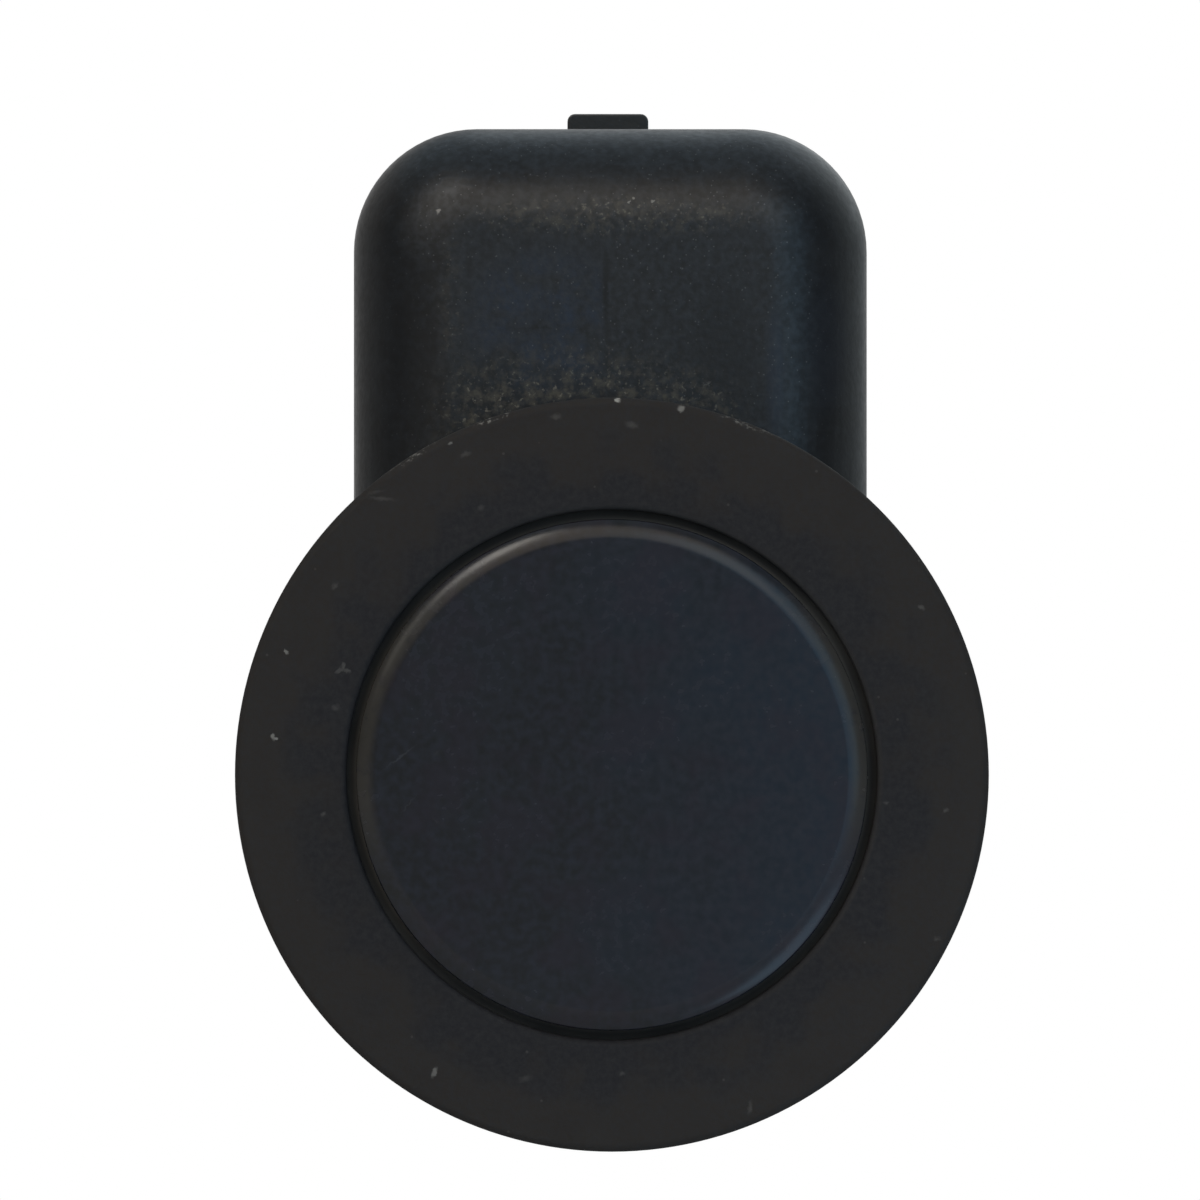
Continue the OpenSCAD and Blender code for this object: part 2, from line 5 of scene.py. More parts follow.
import bmesh
import bpy
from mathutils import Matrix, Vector


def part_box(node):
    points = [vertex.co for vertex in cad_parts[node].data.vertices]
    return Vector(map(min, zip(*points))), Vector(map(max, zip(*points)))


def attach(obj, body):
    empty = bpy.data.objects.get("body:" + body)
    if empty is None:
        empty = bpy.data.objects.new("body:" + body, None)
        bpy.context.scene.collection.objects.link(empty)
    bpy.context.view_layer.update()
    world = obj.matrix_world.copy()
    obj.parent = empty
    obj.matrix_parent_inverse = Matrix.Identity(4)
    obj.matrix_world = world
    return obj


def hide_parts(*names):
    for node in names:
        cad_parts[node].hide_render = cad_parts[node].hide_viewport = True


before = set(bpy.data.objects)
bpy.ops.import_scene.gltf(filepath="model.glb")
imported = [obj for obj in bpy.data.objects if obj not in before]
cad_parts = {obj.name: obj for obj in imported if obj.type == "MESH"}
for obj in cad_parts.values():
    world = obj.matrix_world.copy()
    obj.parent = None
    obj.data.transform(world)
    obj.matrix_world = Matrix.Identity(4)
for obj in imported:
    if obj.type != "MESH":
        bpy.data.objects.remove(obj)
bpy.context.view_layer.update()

MM = 0.001

# Places and sizes that the frame gives
RING_LOW, RING_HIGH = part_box("decoupling_ring")
POT_LOW, POT_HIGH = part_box("membrane_pot")
SLEEVE_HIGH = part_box("pot_sleeve")[1]
HOUSING_LOW, HOUSING_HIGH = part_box("housing")
COVER_LOW, COVER_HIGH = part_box("rear_cover")
BOARD_LOW, BOARD_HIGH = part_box("circuit_board")
PIEZO_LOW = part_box("piezo_disc")[0]
PIN_LOW, PIN_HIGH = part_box("signal_pin")
SIDE_PIN_LOW, SIDE_PIN_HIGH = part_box("ground_pin")

# Head, from the membrane outwards
GROOVE_W = 0.3 * MM
RING_FACE_W = 3.4 * MM
CAP_STEP = 0.5 * MM
FIT = 0.05 * MM
COLLAR_WALL = 1.0 * MM
BEAD_R = 0.4 * MM
RING_R = RING_HIGH.x
RING_BORE_R = RING_R - RING_FACE_W
MEMBRANE_R = RING_BORE_R - GROOVE_W
POT_R = MEMBRANE_R - CAP_STEP
FLANGE_R = POT_HIGH.x
BORE_R = SLEEVE_HIGH.x + FIT
COLLAR_R = BORE_R + COLLAR_WALL
SHOULDER_R = HOUSING_HIGH.x
LEAD_OPENING_R = 3.0 * MM
CAVITY_LONG = 11.4 * MM
CAVITY_SHORT = 8.4 * MM

# Places along the head's axis, from front to rear
RING_LIP_T = 1.6 * MM
POT_FLANGE_T = 1.4 * MM
PARTITION_T = 1.2 * MM
COVER_T = 1.6 * MM
Y_RING = RING_LOW.y
Y_LIP = Y_RING + RING_LIP_T
Y_BEAD = Y_LIP / 2
Y_MEMBRANE = POT_LOW.y
Y_PIEZO = PIEZO_LOW.y
Y_POT_END = POT_HIGH.y
Y_BORE_END = SLEEVE_HIGH.y
Y_PARTITION_END = Y_BORE_END + PARTITION_T
Y_BOARD = BOARD_LOW.y
Y_BOARD_END = BOARD_HIGH.y
Y_COVER = HOUSING_HIGH.y
Y_COVER_END = Y_COVER + COVER_T
Y_MOUTH = COVER_HIGH.y

# Housing
BOX_X = COVER_HIGH.x
BOX_TOP = HOUSING_HIGH.z
BOX_LOW = COVER_LOW.z
BOX_CORNER_R = 3.9 * MM
BOX_EDGE_R = 3.15 * MM
BOX_WALL = 1.4 * MM
SHOULDER_CHAMFER = 0.6 * MM
LEDGE_W = 0.8 * MM
LUG_H = 1.6 * MM
LUG_W = 5.0 * MM
LUG_RAMP = 3.2 * MM
LUG_CREST = 0.6 * MM
LUG_GAP = 0.9 * MM
KEY_W = 3.0 * MM
KEY_INSET = 1.0 * MM
KEY_LOW = HOUSING_LOW.z

# Rear cover and its connector
COVER_EDGE_R = 0.6 * MM
COVER_LIP_L = 1.5 * MM
COVER_LIP_WALL = 0.9 * MM
POST_R = 1.0 * MM
POST_INSET = 1.5 * MM
SHROUD_WALL = 1.2 * MM
SHROUD_CORNER_R = 2.0 * MM
SHROUD_X = 6.2 * MM
SHROUD_H = 8.4 * MM
SHROUD_DROP = 0.4 * MM
SHROUD_TOP = BOX_TOP - SHROUD_DROP
SHROUD_LOW = SHROUD_TOP - SHROUD_H
CONNECTOR_Z = SHROUD_TOP - SHROUD_H / 2
NOSE_W = 2.7 * MM
NOSE_TOP = COVER_HIGH.z
NOSE_CREST = 0.8 * MM
NOSE_RAMP = 2.6 * MM
NOSE_SETBACK = 4.0 * MM
NOSE_CORNER_R = 0.25 * MM
GUIDE_W = 0.9 * MM
GUIDE_H = 0.7 * MM
GUIDE_SETBACK = 1.5 * MM
GUSSET_LEG = 3.0 * MM
GUSSET_T = 1.0 * MM
BOSS_WALL = 1.0 * MM
BOSS_L = 2.0 * MM
PIN_W = PIN_HIGH.x - PIN_LOW.x
PIN_PITCH = (SIDE_PIN_LOW.x + SIDE_PIN_HIGH.x) / 2
PIN_TAPER = 0.8 * MM
PIN_TIP_SHARE = 0.5

# Small roundings that a mould leaves
RING_EDGE_R = 0.25 * MM
RING_BORE_EDGE_R = 0.2 * MM
MEMBRANE_RIM_R = 1.2 * MM
MEMBRANE_RIM_W = 0.7 * MM
SEAM_EDGE = 0.14 * MM
MOULD_EDGE = 0.15 * MM
PIN_EDGE = 0.05 * MM
NOSE_EDGE = 0.08 * MM
OVER = 1.0 * MM
TOUCH = 1e-6

# Steps in the roundings, and the angles that tell an edge from a curve
TURN_SIDES = 192
FINE_CORNER_R = 0.2 * MM
FINE_CORNER_STEPS = 4
TURNED_CORNER_STEPS = 10
POT_CAVITY_STEPS = 24
BOX_CORNER_STEPS = 18
BOX_EDGE_STEPS = 16
SEAM_STEPS = 2
FINE_EDGE_STEPS = 2
INSIDE_CORNER_STEPS = 12
INSIDE_EDGE_STEPS = 8
SHROUD_CORNER_STEPS = 12
MOUTH_STEPS = 3
NOSE_CORNER_STEPS = 5
COVER_EDGE_STEPS = 6
LIP_STEPS = 10
POST_STEPS = 8
SHARP_ANGLE = math.radians(30)
SOFTEN_ANGLE = math.radians(40)
SMOOTH_ANGLE = math.radians(35)


def take(piece):
    """Makes one piece the only one that operators act on."""
    bpy.ops.object.select_all(action="DESELECT")
    piece.select_set(True)
    bpy.context.view_layer.objects.active = piece


def open_piece(piece, kind):
    """Opens a piece for editing with nothing selected."""
    take(piece)
    bpy.ops.object.mode_set(mode="EDIT")
    bpy.ops.mesh.select_mode(type=kind)
    bpy.ops.mesh.select_all(action="DESELECT")
    return bmesh.from_edit_mesh(piece.data)


def pick_edges(piece, rule):
    """Opens a piece with the sharp edges selected whose two ends meet the rule."""
    shape = open_piece(piece, "EDGE")
    for edge in shape.edges:
        sharp = edge.calc_face_angle(0) > SHARP_ANGLE
        if sharp and rule(edge.verts[0].co, edge.verts[1].co):
            edge.select_set(True)
    bmesh.update_edit_mesh(piece.data)


def pick_faces(piece, rule):
    """Opens a piece with the faces selected whose middle and normal meet the rule."""
    shape = open_piece(piece, "FACE")
    for face in shape.faces:
        if rule(face.calc_center_median(), face.normal):
            face.select_set(True)
    bmesh.update_edit_mesh(piece.data)


def close_piece():
    """Ends editing."""
    bpy.ops.object.mode_set(mode="OBJECT")


def round_edges(piece, rule, radius, steps):
    """Rounds the edges that meet the rule."""
    pick_edges(piece, rule)
    bpy.ops.mesh.bevel(offset=radius, segments=steps, profile=0.5, affect="EDGES")
    close_piece()


def along_y(a, b):
    """An edge that runs along Y."""
    return abs(a.x - b.x) < TOUCH and abs(a.z - b.z) < TOUCH


def at_y(place):
    """Rule for the edges that lie at one place along Y."""
    return lambda a, b: abs(a.y - place) < TOUCH and abs(b.y - place) < TOUCH


def add_block(name, low, high):
    """Adds a block between two corners."""
    bpy.ops.object.select_all(action="DESELECT")
    low, high = Vector(low), Vector(high)
    bpy.ops.mesh.primitive_cube_add(size=1, location=(low + high) / 2)
    piece = bpy.context.object
    piece.name = name
    piece.scale = high - low
    bpy.ops.object.transform_apply(location=True, rotation=True, scale=True)
    return piece


def add_round_block(name, low, high, corner_r, steps):
    """Adds a block whose four edges along Y are round."""
    piece = add_block(name, low, high)
    round_edges(piece, along_y, corner_r, steps)
    return piece


def turn_piece(name, outline):
    """Turns an outline of (radius, place along Y, corner radius) about the head's axis."""
    bpy.ops.object.select_all(action="DESELECT")
    bpy.ops.mesh.primitive_plane_add(size=MM)
    piece = bpy.context.object
    piece.name = name
    bpy.ops.object.mode_set(mode="EDIT")
    bpy.ops.mesh.select_mode(type="VERT")
    bpy.ops.mesh.select_all(action="SELECT")
    bpy.ops.mesh.merge(type="CENTER")
    bpy.ops.transform.translate(value=(outline[0][0], outline[0][1], 0))
    for here, there in zip(outline, outline[1:]):
        step = (there[0] - here[0], there[1] - here[1], 0)
        bpy.ops.mesh.extrude_region_move(TRANSFORM_OT_translate={"value": step})
    bpy.ops.mesh.select_all(action="SELECT")
    bpy.ops.mesh.edge_face_add()
    for radius, place, corner_r in outline:
        if corner_r:
            bpy.ops.mesh.select_all(action="DESELECT")
            shape = bmesh.from_edit_mesh(piece.data)
            for vert in shape.verts:
                if (vert.co - Vector((radius, place, 0))).length < TOUCH:
                    vert.select_set(True)
            bmesh.update_edit_mesh(piece.data)
            steps = FINE_CORNER_STEPS if corner_r < FINE_CORNER_R else TURNED_CORNER_STEPS
            bpy.ops.mesh.bevel(offset=corner_r, segments=steps, profile=0.5, affect="VERTICES")
    bpy.ops.mesh.select_all(action="SELECT")
    bpy.ops.mesh.delete(type="ONLY_FACE")
    bpy.ops.mesh.select_mode(type="EDGE")
    bpy.ops.mesh.select_all(action="DESELECT")
    shape = bmesh.from_edit_mesh(piece.data)
    for edge in shape.edges:
        if max(vert.co.x for vert in edge.verts) < TOUCH:
            edge.select_set(True)
    bmesh.update_edit_mesh(piece.data)
    bpy.ops.mesh.delete(type="EDGE")
    bpy.ops.mesh.select_all(action="SELECT")
    bpy.ops.mesh.spin(steps=TURN_SIDES, angle=math.tau, center=(0, 0, 0), axis=(0, 1, 0))
    bpy.ops.mesh.select_all(action="SELECT")
    bpy.ops.mesh.remove_doubles(threshold=TOUCH)
    bpy.ops.mesh.normals_make_consistent(inside=False)
    close_piece()
    return piece


def cut_off(piece, point, normal):
    """Cuts off what lies beyond a plane and closes the cut."""
    open_piece(piece, "FACE")
    bpy.ops.mesh.select_all(action="SELECT")
    bpy.ops.mesh.bisect(
        plane_co=point,
        plane_no=Vector(normal).normalized(),
        use_fill=True,
        clear_outer=True,
        threshold=TOUCH,
    )
    bpy.ops.mesh.select_all(action="SELECT")
    bpy.ops.mesh.normals_make_consistent(inside=False)
    close_piece()


def soften(piece, width, steps=3):
    """Rounds every sharp edge of a piece a little."""
    take(piece)
    bpy.ops.object.modifier_add(type="BEVEL")
    bevel = piece.modifiers[-1]
    bevel.width = width
    bevel.segments = steps
    bevel.limit_method = "ANGLE"
    bevel.angle_limit = SOFTEN_ANGLE
    bpy.ops.object.modifier_apply(modifier=bevel.name)


def combine(piece, other, operation):
    """Joins another form to a piece or cuts it out of the piece."""
    take(piece)
    bpy.ops.object.modifier_add(type="BOOLEAN")
    step = piece.modifiers[-1]
    step.operation = operation
    step.solver = "EXACT"
    step.object = other
    bpy.ops.object.modifier_apply(modifier=step.name)
    bpy.data.objects.remove(other, do_unlink=True)


def copy_moved(piece, name, step=(0, 0, 0), half_turn=False):
    """Copies a form with its own mesh, then moves it or turns it half round about Y."""
    take(piece)
    bpy.ops.object.duplicate(linked=False)
    twin = bpy.context.object
    twin.name = name
    bpy.ops.object.mode_set(mode="EDIT")
    bpy.ops.mesh.select_all(action="SELECT")
    if half_turn:
        bpy.ops.transform.rotate(value=math.pi, orient_axis="Y", center_override=(0, 0, 0))
    bpy.ops.transform.translate(value=step)
    close_piece()
    return twin


def finish_piece(piece, material, nodes):
    """Smooths a piece, dresses it and lets it stand for its node."""
    take(piece)
    bpy.ops.object.mode_set(mode="EDIT")
    bpy.ops.mesh.select_all(action="SELECT")
    bpy.ops.mesh.remove_doubles(threshold=TOUCH)
    bpy.ops.mesh.normals_make_consistent(inside=False)
    close_piece()
    bpy.ops.object.shade_smooth_by_angle(angle=SMOOTH_ANGLE)
    bpy.ops.object.modifier_add(type="WEIGHTED_NORMAL")
    weighted = piece.modifiers[-1]
    weighted.keep_sharp = True
    bpy.ops.object.modifier_apply(modifier=weighted.name)
    piece.data.materials.clear()
    piece.data.materials.append(material)
    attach(piece, "root")
    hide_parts(*nodes)


# A length in millimetres past any of the part's depths
DEEP = 1000


class Finish:
    """A material made node by node, on the object's own coordinates in millimetres."""

    def __init__(self, name):
        self.material = bpy.data.materials.new(name)
        self.material.use_nodes = True
        self.tree = self.material.node_tree
        self.shader = self.tree.nodes["Principled BSDF"]
        coordinates = self.tree.nodes.new("ShaderNodeTexCoord")
        scale = self.add("VectorMath", operation="SCALE")
        self.feed(scale.inputs[0], coordinates.outputs["Object"])
        scale.inputs["Scale"].default_value = 1 / MM
        self.place = scale.outputs[0]

    def add(self, kind, **settings):
        made = self.tree.nodes.new("ShaderNode" + kind)
        for key, value in settings.items():
            setattr(made, key, value)
        return made

    def feed(self, socket, source):
        """Sets a socket to a value or links another node's output to it."""
        if hasattr(source, "is_linked"):
            self.tree.links.new(source, socket)
        else:
            socket.default_value = source

    def calc(self, operation, a, b=0.0):
        made = self.add("Math", operation=operation)
        self.feed(made.inputs[0], a)
        self.feed(made.inputs[1], b)
        return made.outputs[0]

    def product(self, *shares):
        total = shares[0]
        for share in shares[1:]:
            total = self.calc("MULTIPLY", total, share)
        return total

    def noise(self, scale, detail=3.0, roughness=0.5):
        made = self.add("TexNoise")
        self.feed(made.inputs["Vector"], self.place)
        made.inputs["Scale"].default_value = scale
        made.inputs["Detail"].default_value = detail
        made.inputs["Roughness"].default_value = roughness
        return made.outputs[0]

    def band(self, value, low, high, to_low=0.0, to_high=1.0):
        """Eases a value from one range into another."""
        made = self.add("MapRange", interpolation_type="SMOOTHSTEP")
        for socket, source in zip(made.inputs, (value, low, high, to_low, to_high)):
            self.feed(socket, source)
        return made.outputs[0]

    def mix(self, share, a, b):
        made = self.add("Mix", data_type="RGBA")
        self.feed(made.inputs[0], share)
        self.feed(made.inputs[6], a)
        self.feed(made.inputs[7], b)
        return made.outputs[2]

    def split(self):
        """The three coordinates: across, back and up."""
        made = self.add("SeparateXYZ")
        self.feed(made.inputs[0], self.place)
        return made.outputs

    def specks(self, cells, size):
        """Scattered dots: cells to a millimetre, and a dot's radius as a share of its cell."""
        made = self.add("TexVoronoi")
        self.feed(made.inputs["Vector"], self.place)
        made.inputs["Scale"].default_value = cells
        return self.band(made.outputs["Distance"], size, 0.4 * size)

    def ragged(self, scale, reach):
        """Coordinates that wander by up to a reach."""
        made = self.add("TexNoise")
        self.feed(made.inputs["Vector"], self.place)
        made.inputs["Scale"].default_value = scale
        wander = self.add("VectorMath", operation="MULTIPLY_ADD")
        self.feed(wander.inputs[0], made.outputs["Color"])
        wander.inputs[1].default_value = (2 * reach, 2 * reach, 2 * reach)
        wander.inputs[2].default_value = (-reach, -reach, -reach)
        total = self.add("VectorMath", operation="ADD")
        self.feed(total.inputs[0], wander.outputs[0])
        self.feed(total.inputs[1], self.place)
        return total.outputs[0]

    def marks(self, places, soft=0.4, front=0.0, reach=DEEP):
        """Ragged dashes near a front, each (across, up, length, width, turn, strength)."""
        ground = self.ragged(7, 0.09)
        total = None
        for x, z, length, width, turn, strength in places:
            made = self.add("Mapping", vector_type="TEXTURE")
            self.feed(made.inputs["Vector"], ground)
            made.inputs["Location"].default_value = (x, front, z)
            made.inputs["Rotation"].default_value = (0, -math.radians(turn), 0)
            made.inputs["Scale"].default_value = (length / 2, reach, width / 2)
            measure = self.add("VectorMath", operation="LENGTH")
            self.feed(measure.inputs[0], made.outputs[0])
            dash = self.band(measure.outputs["Value"], 1.0, soft, 0.0, strength)
            total = self.calc("MAXIMUM", total, dash) if total else dash
        return total

    def flat_length(self):
        """Distance from the head's axis, whatever the depth."""
        across = self.add("VectorMath", operation="MULTIPLY")
        self.feed(across.inputs[0], self.place)
        across.inputs[1].default_value = (1, 0, 1)
        measure = self.add("VectorMath", operation="LENGTH")
        self.feed(measure.inputs[0], across.outputs[0])
        return measure.outputs["Value"]

    def bump(self, heights, distance):
        """Adds up heights of (share, strength) to a bumped normal."""
        normal = None
        for height, strength in heights:
            made = self.add("Bump")
            made.inputs["Strength"].default_value = strength
            made.inputs["Distance"].default_value = distance
            self.feed(made.inputs["Height"], height)
            if normal:
                self.feed(made.inputs["Normal"], normal)
            normal = made.outputs[0]
        self.feed(self.shader.inputs["Normal"], normal)

    def set(self, **values):
        for key, value in values.items():
            self.feed(self.shader.inputs[key.replace("_", " ")], value)


def tone(red, green, blue):
    """A screen colour of 0 to 255 as the shader's linear colour."""
    shares = [channel / 255 for channel in (red, green, blue)]
    linear = [s / 12.92 if s <= 0.04045 else ((s + 0.055) / 1.055) ** 2.4 for s in shares]
    return (*linear, 1.0)


def ring_rubber():
    """Matte rubber: brown-grey outside, bluer by the groove, with specks, a frayed top edge and painted
    light on the bore's upper-right edge.
    """
    finish = Finish("ring_rubber")
    x, _, z = finish.split()
    radius = finish.flat_length()
    mottle = finish.noise(0.7, 4)
    fine = finish.noise(5, 4, 0.65)
    uneven = finish.calc("ADD", radius, finish.band(mottle, 0.3, 0.7, -0.9, 0.9))
    outward = finish.band(uneven, 8.5, 10.3)
    colour = finish.mix(outward, tone(26, 26, 29), tone(36, 33, 31))
    colour = finish.mix(finish.band(fine, 0.3, 0.75, 0, 0.8), colour, tone(36, 36, 37))
    colour = finish.mix(finish.product(finish.specks(1.1, 0.06), 0.1), colour, tone(120, 118, 112))
    # Painted light: the bore's edge is made lighter towards the upper right, standing in for light the
    # groove gets too little of.
    upper_right = finish.band(finish.calc("ADD", x, z), -3, 3, 0.0, 0.2)
    painted_bore_light = finish.product(finish.band(radius, 8.32, 8.12), upper_right)
    colour = finish.mix(painted_bore_light, colour, tone(66, 65, 63))
    dashes = [
        (-8.2, 3.33, 0.3, 0.17, 84, 0.15),
        (-8.31, 3.18, 0.38, 0.17, 30, 0.13),
        (-8.09, 3.19, 0.36, 0.17, -28, 0.13),
        (-10.33, 1.18, 0.26, 0.16, 75, 0.5),
        (-10.25, 1.1, 0.2, 0.14, 20, 0.6),
        (-9.92, 3.75, 0.25, 0.11, -54, 0.5),
        (-4.93, 10.1, 0.2, 0.16, 30, 0.4),
        (-5.4, -9.05, 0.45, 0.2, 70, 0.36),
    ]
    scuffs = [
        (-8.42, 2.05, 0.36, 0.3, 20, 0.09),
        (-8.45, 5.75, 0.4, 0.26, 60, 0.12),
        (-8.8, -1.2, 0.26, 0.2, 0, 0.14),
        (-7.0, 8.42, 1.1, 0.2, -4, 0.1),
        (-7.2, 8.62, 0.8, 0.16, 10, 0.06),
        (-4.48, 9.77, 0.5, 0.26, 20, 0.11),
        (-4.0, 8.14, 0.3, 0.26, 0, 0.09),
        (-1.7, 10.92, 0.5, 0.24, 0, 0.12),
        (0.6, 10.67, 0.6, 0.3, -15, 0.12),
        (9.43, 5.1, 0.3, 0.2, -30, 0.16),
        (10.15, -1.1, 0.3, 0.2, 50, 0.16),
        (8.35, -0.85, 0.24, 0.2, 0, 0.12),
        (9.9, -5.0, 0.3, 0.2, 0, 0.12),
        (4.2, -10.15, 0.6, 0.2, 80, 0.12),
        (0.3, -9.1, 0.3, 0.24, 10, 0.12),
        (-2.65, -9.25, 0.6, 0.3, 20, 0.07),
    ]
    chips = [
        (0.17, 11.42, 0.24, 0.2, 0, 1.0),
        (2.1, 11.17, 0.3, 0.28, 45, 0.5),
    ]
    front = RING_LOW.y / MM
    worn = finish.calc(
        "MAXIMUM",
        finish.marks(dashes + chips, 0.4, front, 0.6),
        finish.marks(scuffs, 0.0, front, 0.6),
    )
    frays = [
        (-3.7, 10.9, 2.0, 0.36, 19, 1.0),
        (-6.0, 9.75, 2.6, 0.26, 32, 0.6),
        (4.1, 10.73, 2.6, 0.34, -21, 0.8),
    ]
    frayed = finish.marks(frays, 0.3, front, 0.5)
    shreds = finish.product(frayed, finish.band(finish.noise(5.5, 4, 0.7), 0.5, 0.66, 0, 0.75))
    colour = finish.mix(finish.calc("MAXIMUM", worn, shreds), colour, tone(128, 127, 123))
    rough = finish.band(mottle, 0.2, 0.8, 0.66, 0.8)
    finish.set(Base_Color=colour, Roughness=rough, Specular_IOR_Level=0.15)
    finish.bump([(finish.noise(2.2, 3), 0.08), (fine, 0.14), (shreds, 0.3)], 0.05 * MM)
    return finish.material


def membrane_paint():
    """Satin blue-black paint with a fine mottle and a few scratches, bluer to the right as a painted
    reflection, with a painted highlight on the rim's upper part.
    """
    finish = Finish("membrane_paint")
    x, _, z = finish.split()
    radius = finish.flat_length()
    smear = finish.noise(0.28, 4)
    fine = finish.noise(3.6, 1.5, 0.55)
    # Painted reflection: the paint turns bluer to the right, standing in for the window's bluish light.
    painted_window_blue = finish.band(finish.calc("ADD", x, finish.band(smear, 0.3, 0.7, -3, 3)), -4, 7)
    colour = finish.mix(painted_window_blue, tone(24, 25, 26), tone(20, 27, 36))
    colour = finish.mix(finish.band(fine, 0.2, 0.85, 0, 1.0), colour, tone(30, 32, 39))
    drift = finish.band(finish.noise(0.5, 3, 0.6), 0.45, 0.65, 0, 0.5)
    colour = finish.mix(drift, colour, tone(31, 27, 34))
    # Painted highlight: a lighter warm band on the rim, only on its upper part and broken up by noise.
    sheen_share = finish.product(
        finish.band(z, -3.5, 0),
        finish.band(finish.noise(2.5, 4, 0.7), 0.15, 0.5),
        finish.band(z, 6.6, 3.6, 0.1, 1.0),
        finish.band(radius, 7.2, 7.5, 0, 0.8),
    )
    colour = finish.mix(sheen_share, colour, tone(48, 46, 42))
    scratches = [
        (-6.45, 0.55, 1.7, 0.09, 37, 0.16),
        (-5.25, 3.9, 0.5, 0.2, 60, 0.1),
        (-5.35, 0.65, 0.4, 0.22, 20, 0.1),
        (-5.35, -1.4, 0.5, 0.16, -40, 0.08),
        (-6.2, -0.9, 1.0, 0.07, 48, 0.1),
    ]
    colour = finish.mix(finish.marks(scratches, 0.0), colour, tone(80, 82, 86))
    satin = finish.band(smear, 0.3, 0.7, 0.24, 0.27)
    rough = finish.calc("ADD", satin, finish.band(fine, 0.3, 0.7, -0.015, 0.015))
    finish.set(Base_Color=colour, Roughness=rough, Specular_IOR_Level=0.27)
    finish.bump([(finish.noise(1.6, 2), 0.03), (fine, 0.05)], 0.04 * MM)
    return finish.material


def grained_plastic(name, dark, light):
    """Satin plastic, clouded and lightly grained: the finish, its colour and its roughness."""
    finish = Finish(name)
    cloud = finish.noise(0.3, 4)
    blotch = finish.noise(1.6, 4, 0.6)
    grain = finish.noise(4.4, 2, 0.5)
    colour = finish.mix(finish.band(cloud, 0.3, 0.7), dark, light)
    colour = finish.mix(finish.band(blotch, 0.38, 0.68, 0, 0.6), colour, tone(20, 23, 26))
    satin = finish.band(cloud, 0.3, 0.7, 0.37, 0.41)
    rough = finish.calc("ADD", satin, finish.band(grain, 0.3, 0.7, 0.03, -0.03))
    finish.bump([(finish.noise(1.1, 3), 0.05), (grain, 0.12)], 0.06 * MM)
    return finish, colour, rough


def lay_grain(finish, colour, share):
    """Pale grain and a few painted glints over a plastic's colour."""
    grain = finish.band(finish.noise(4.4, 2, 0.5), 0.3, 0.86)
    colour = finish.mix(finish.product(grain, share), colour, tone(31, 35, 40))
    # Painted highlight: tiny bright glints scattered as colour.
    painted_glint = finish.product(finish.specks(5, 0.15), share, 0.5)
    return finish.mix(painted_glint, colour, tone(84, 87, 90))


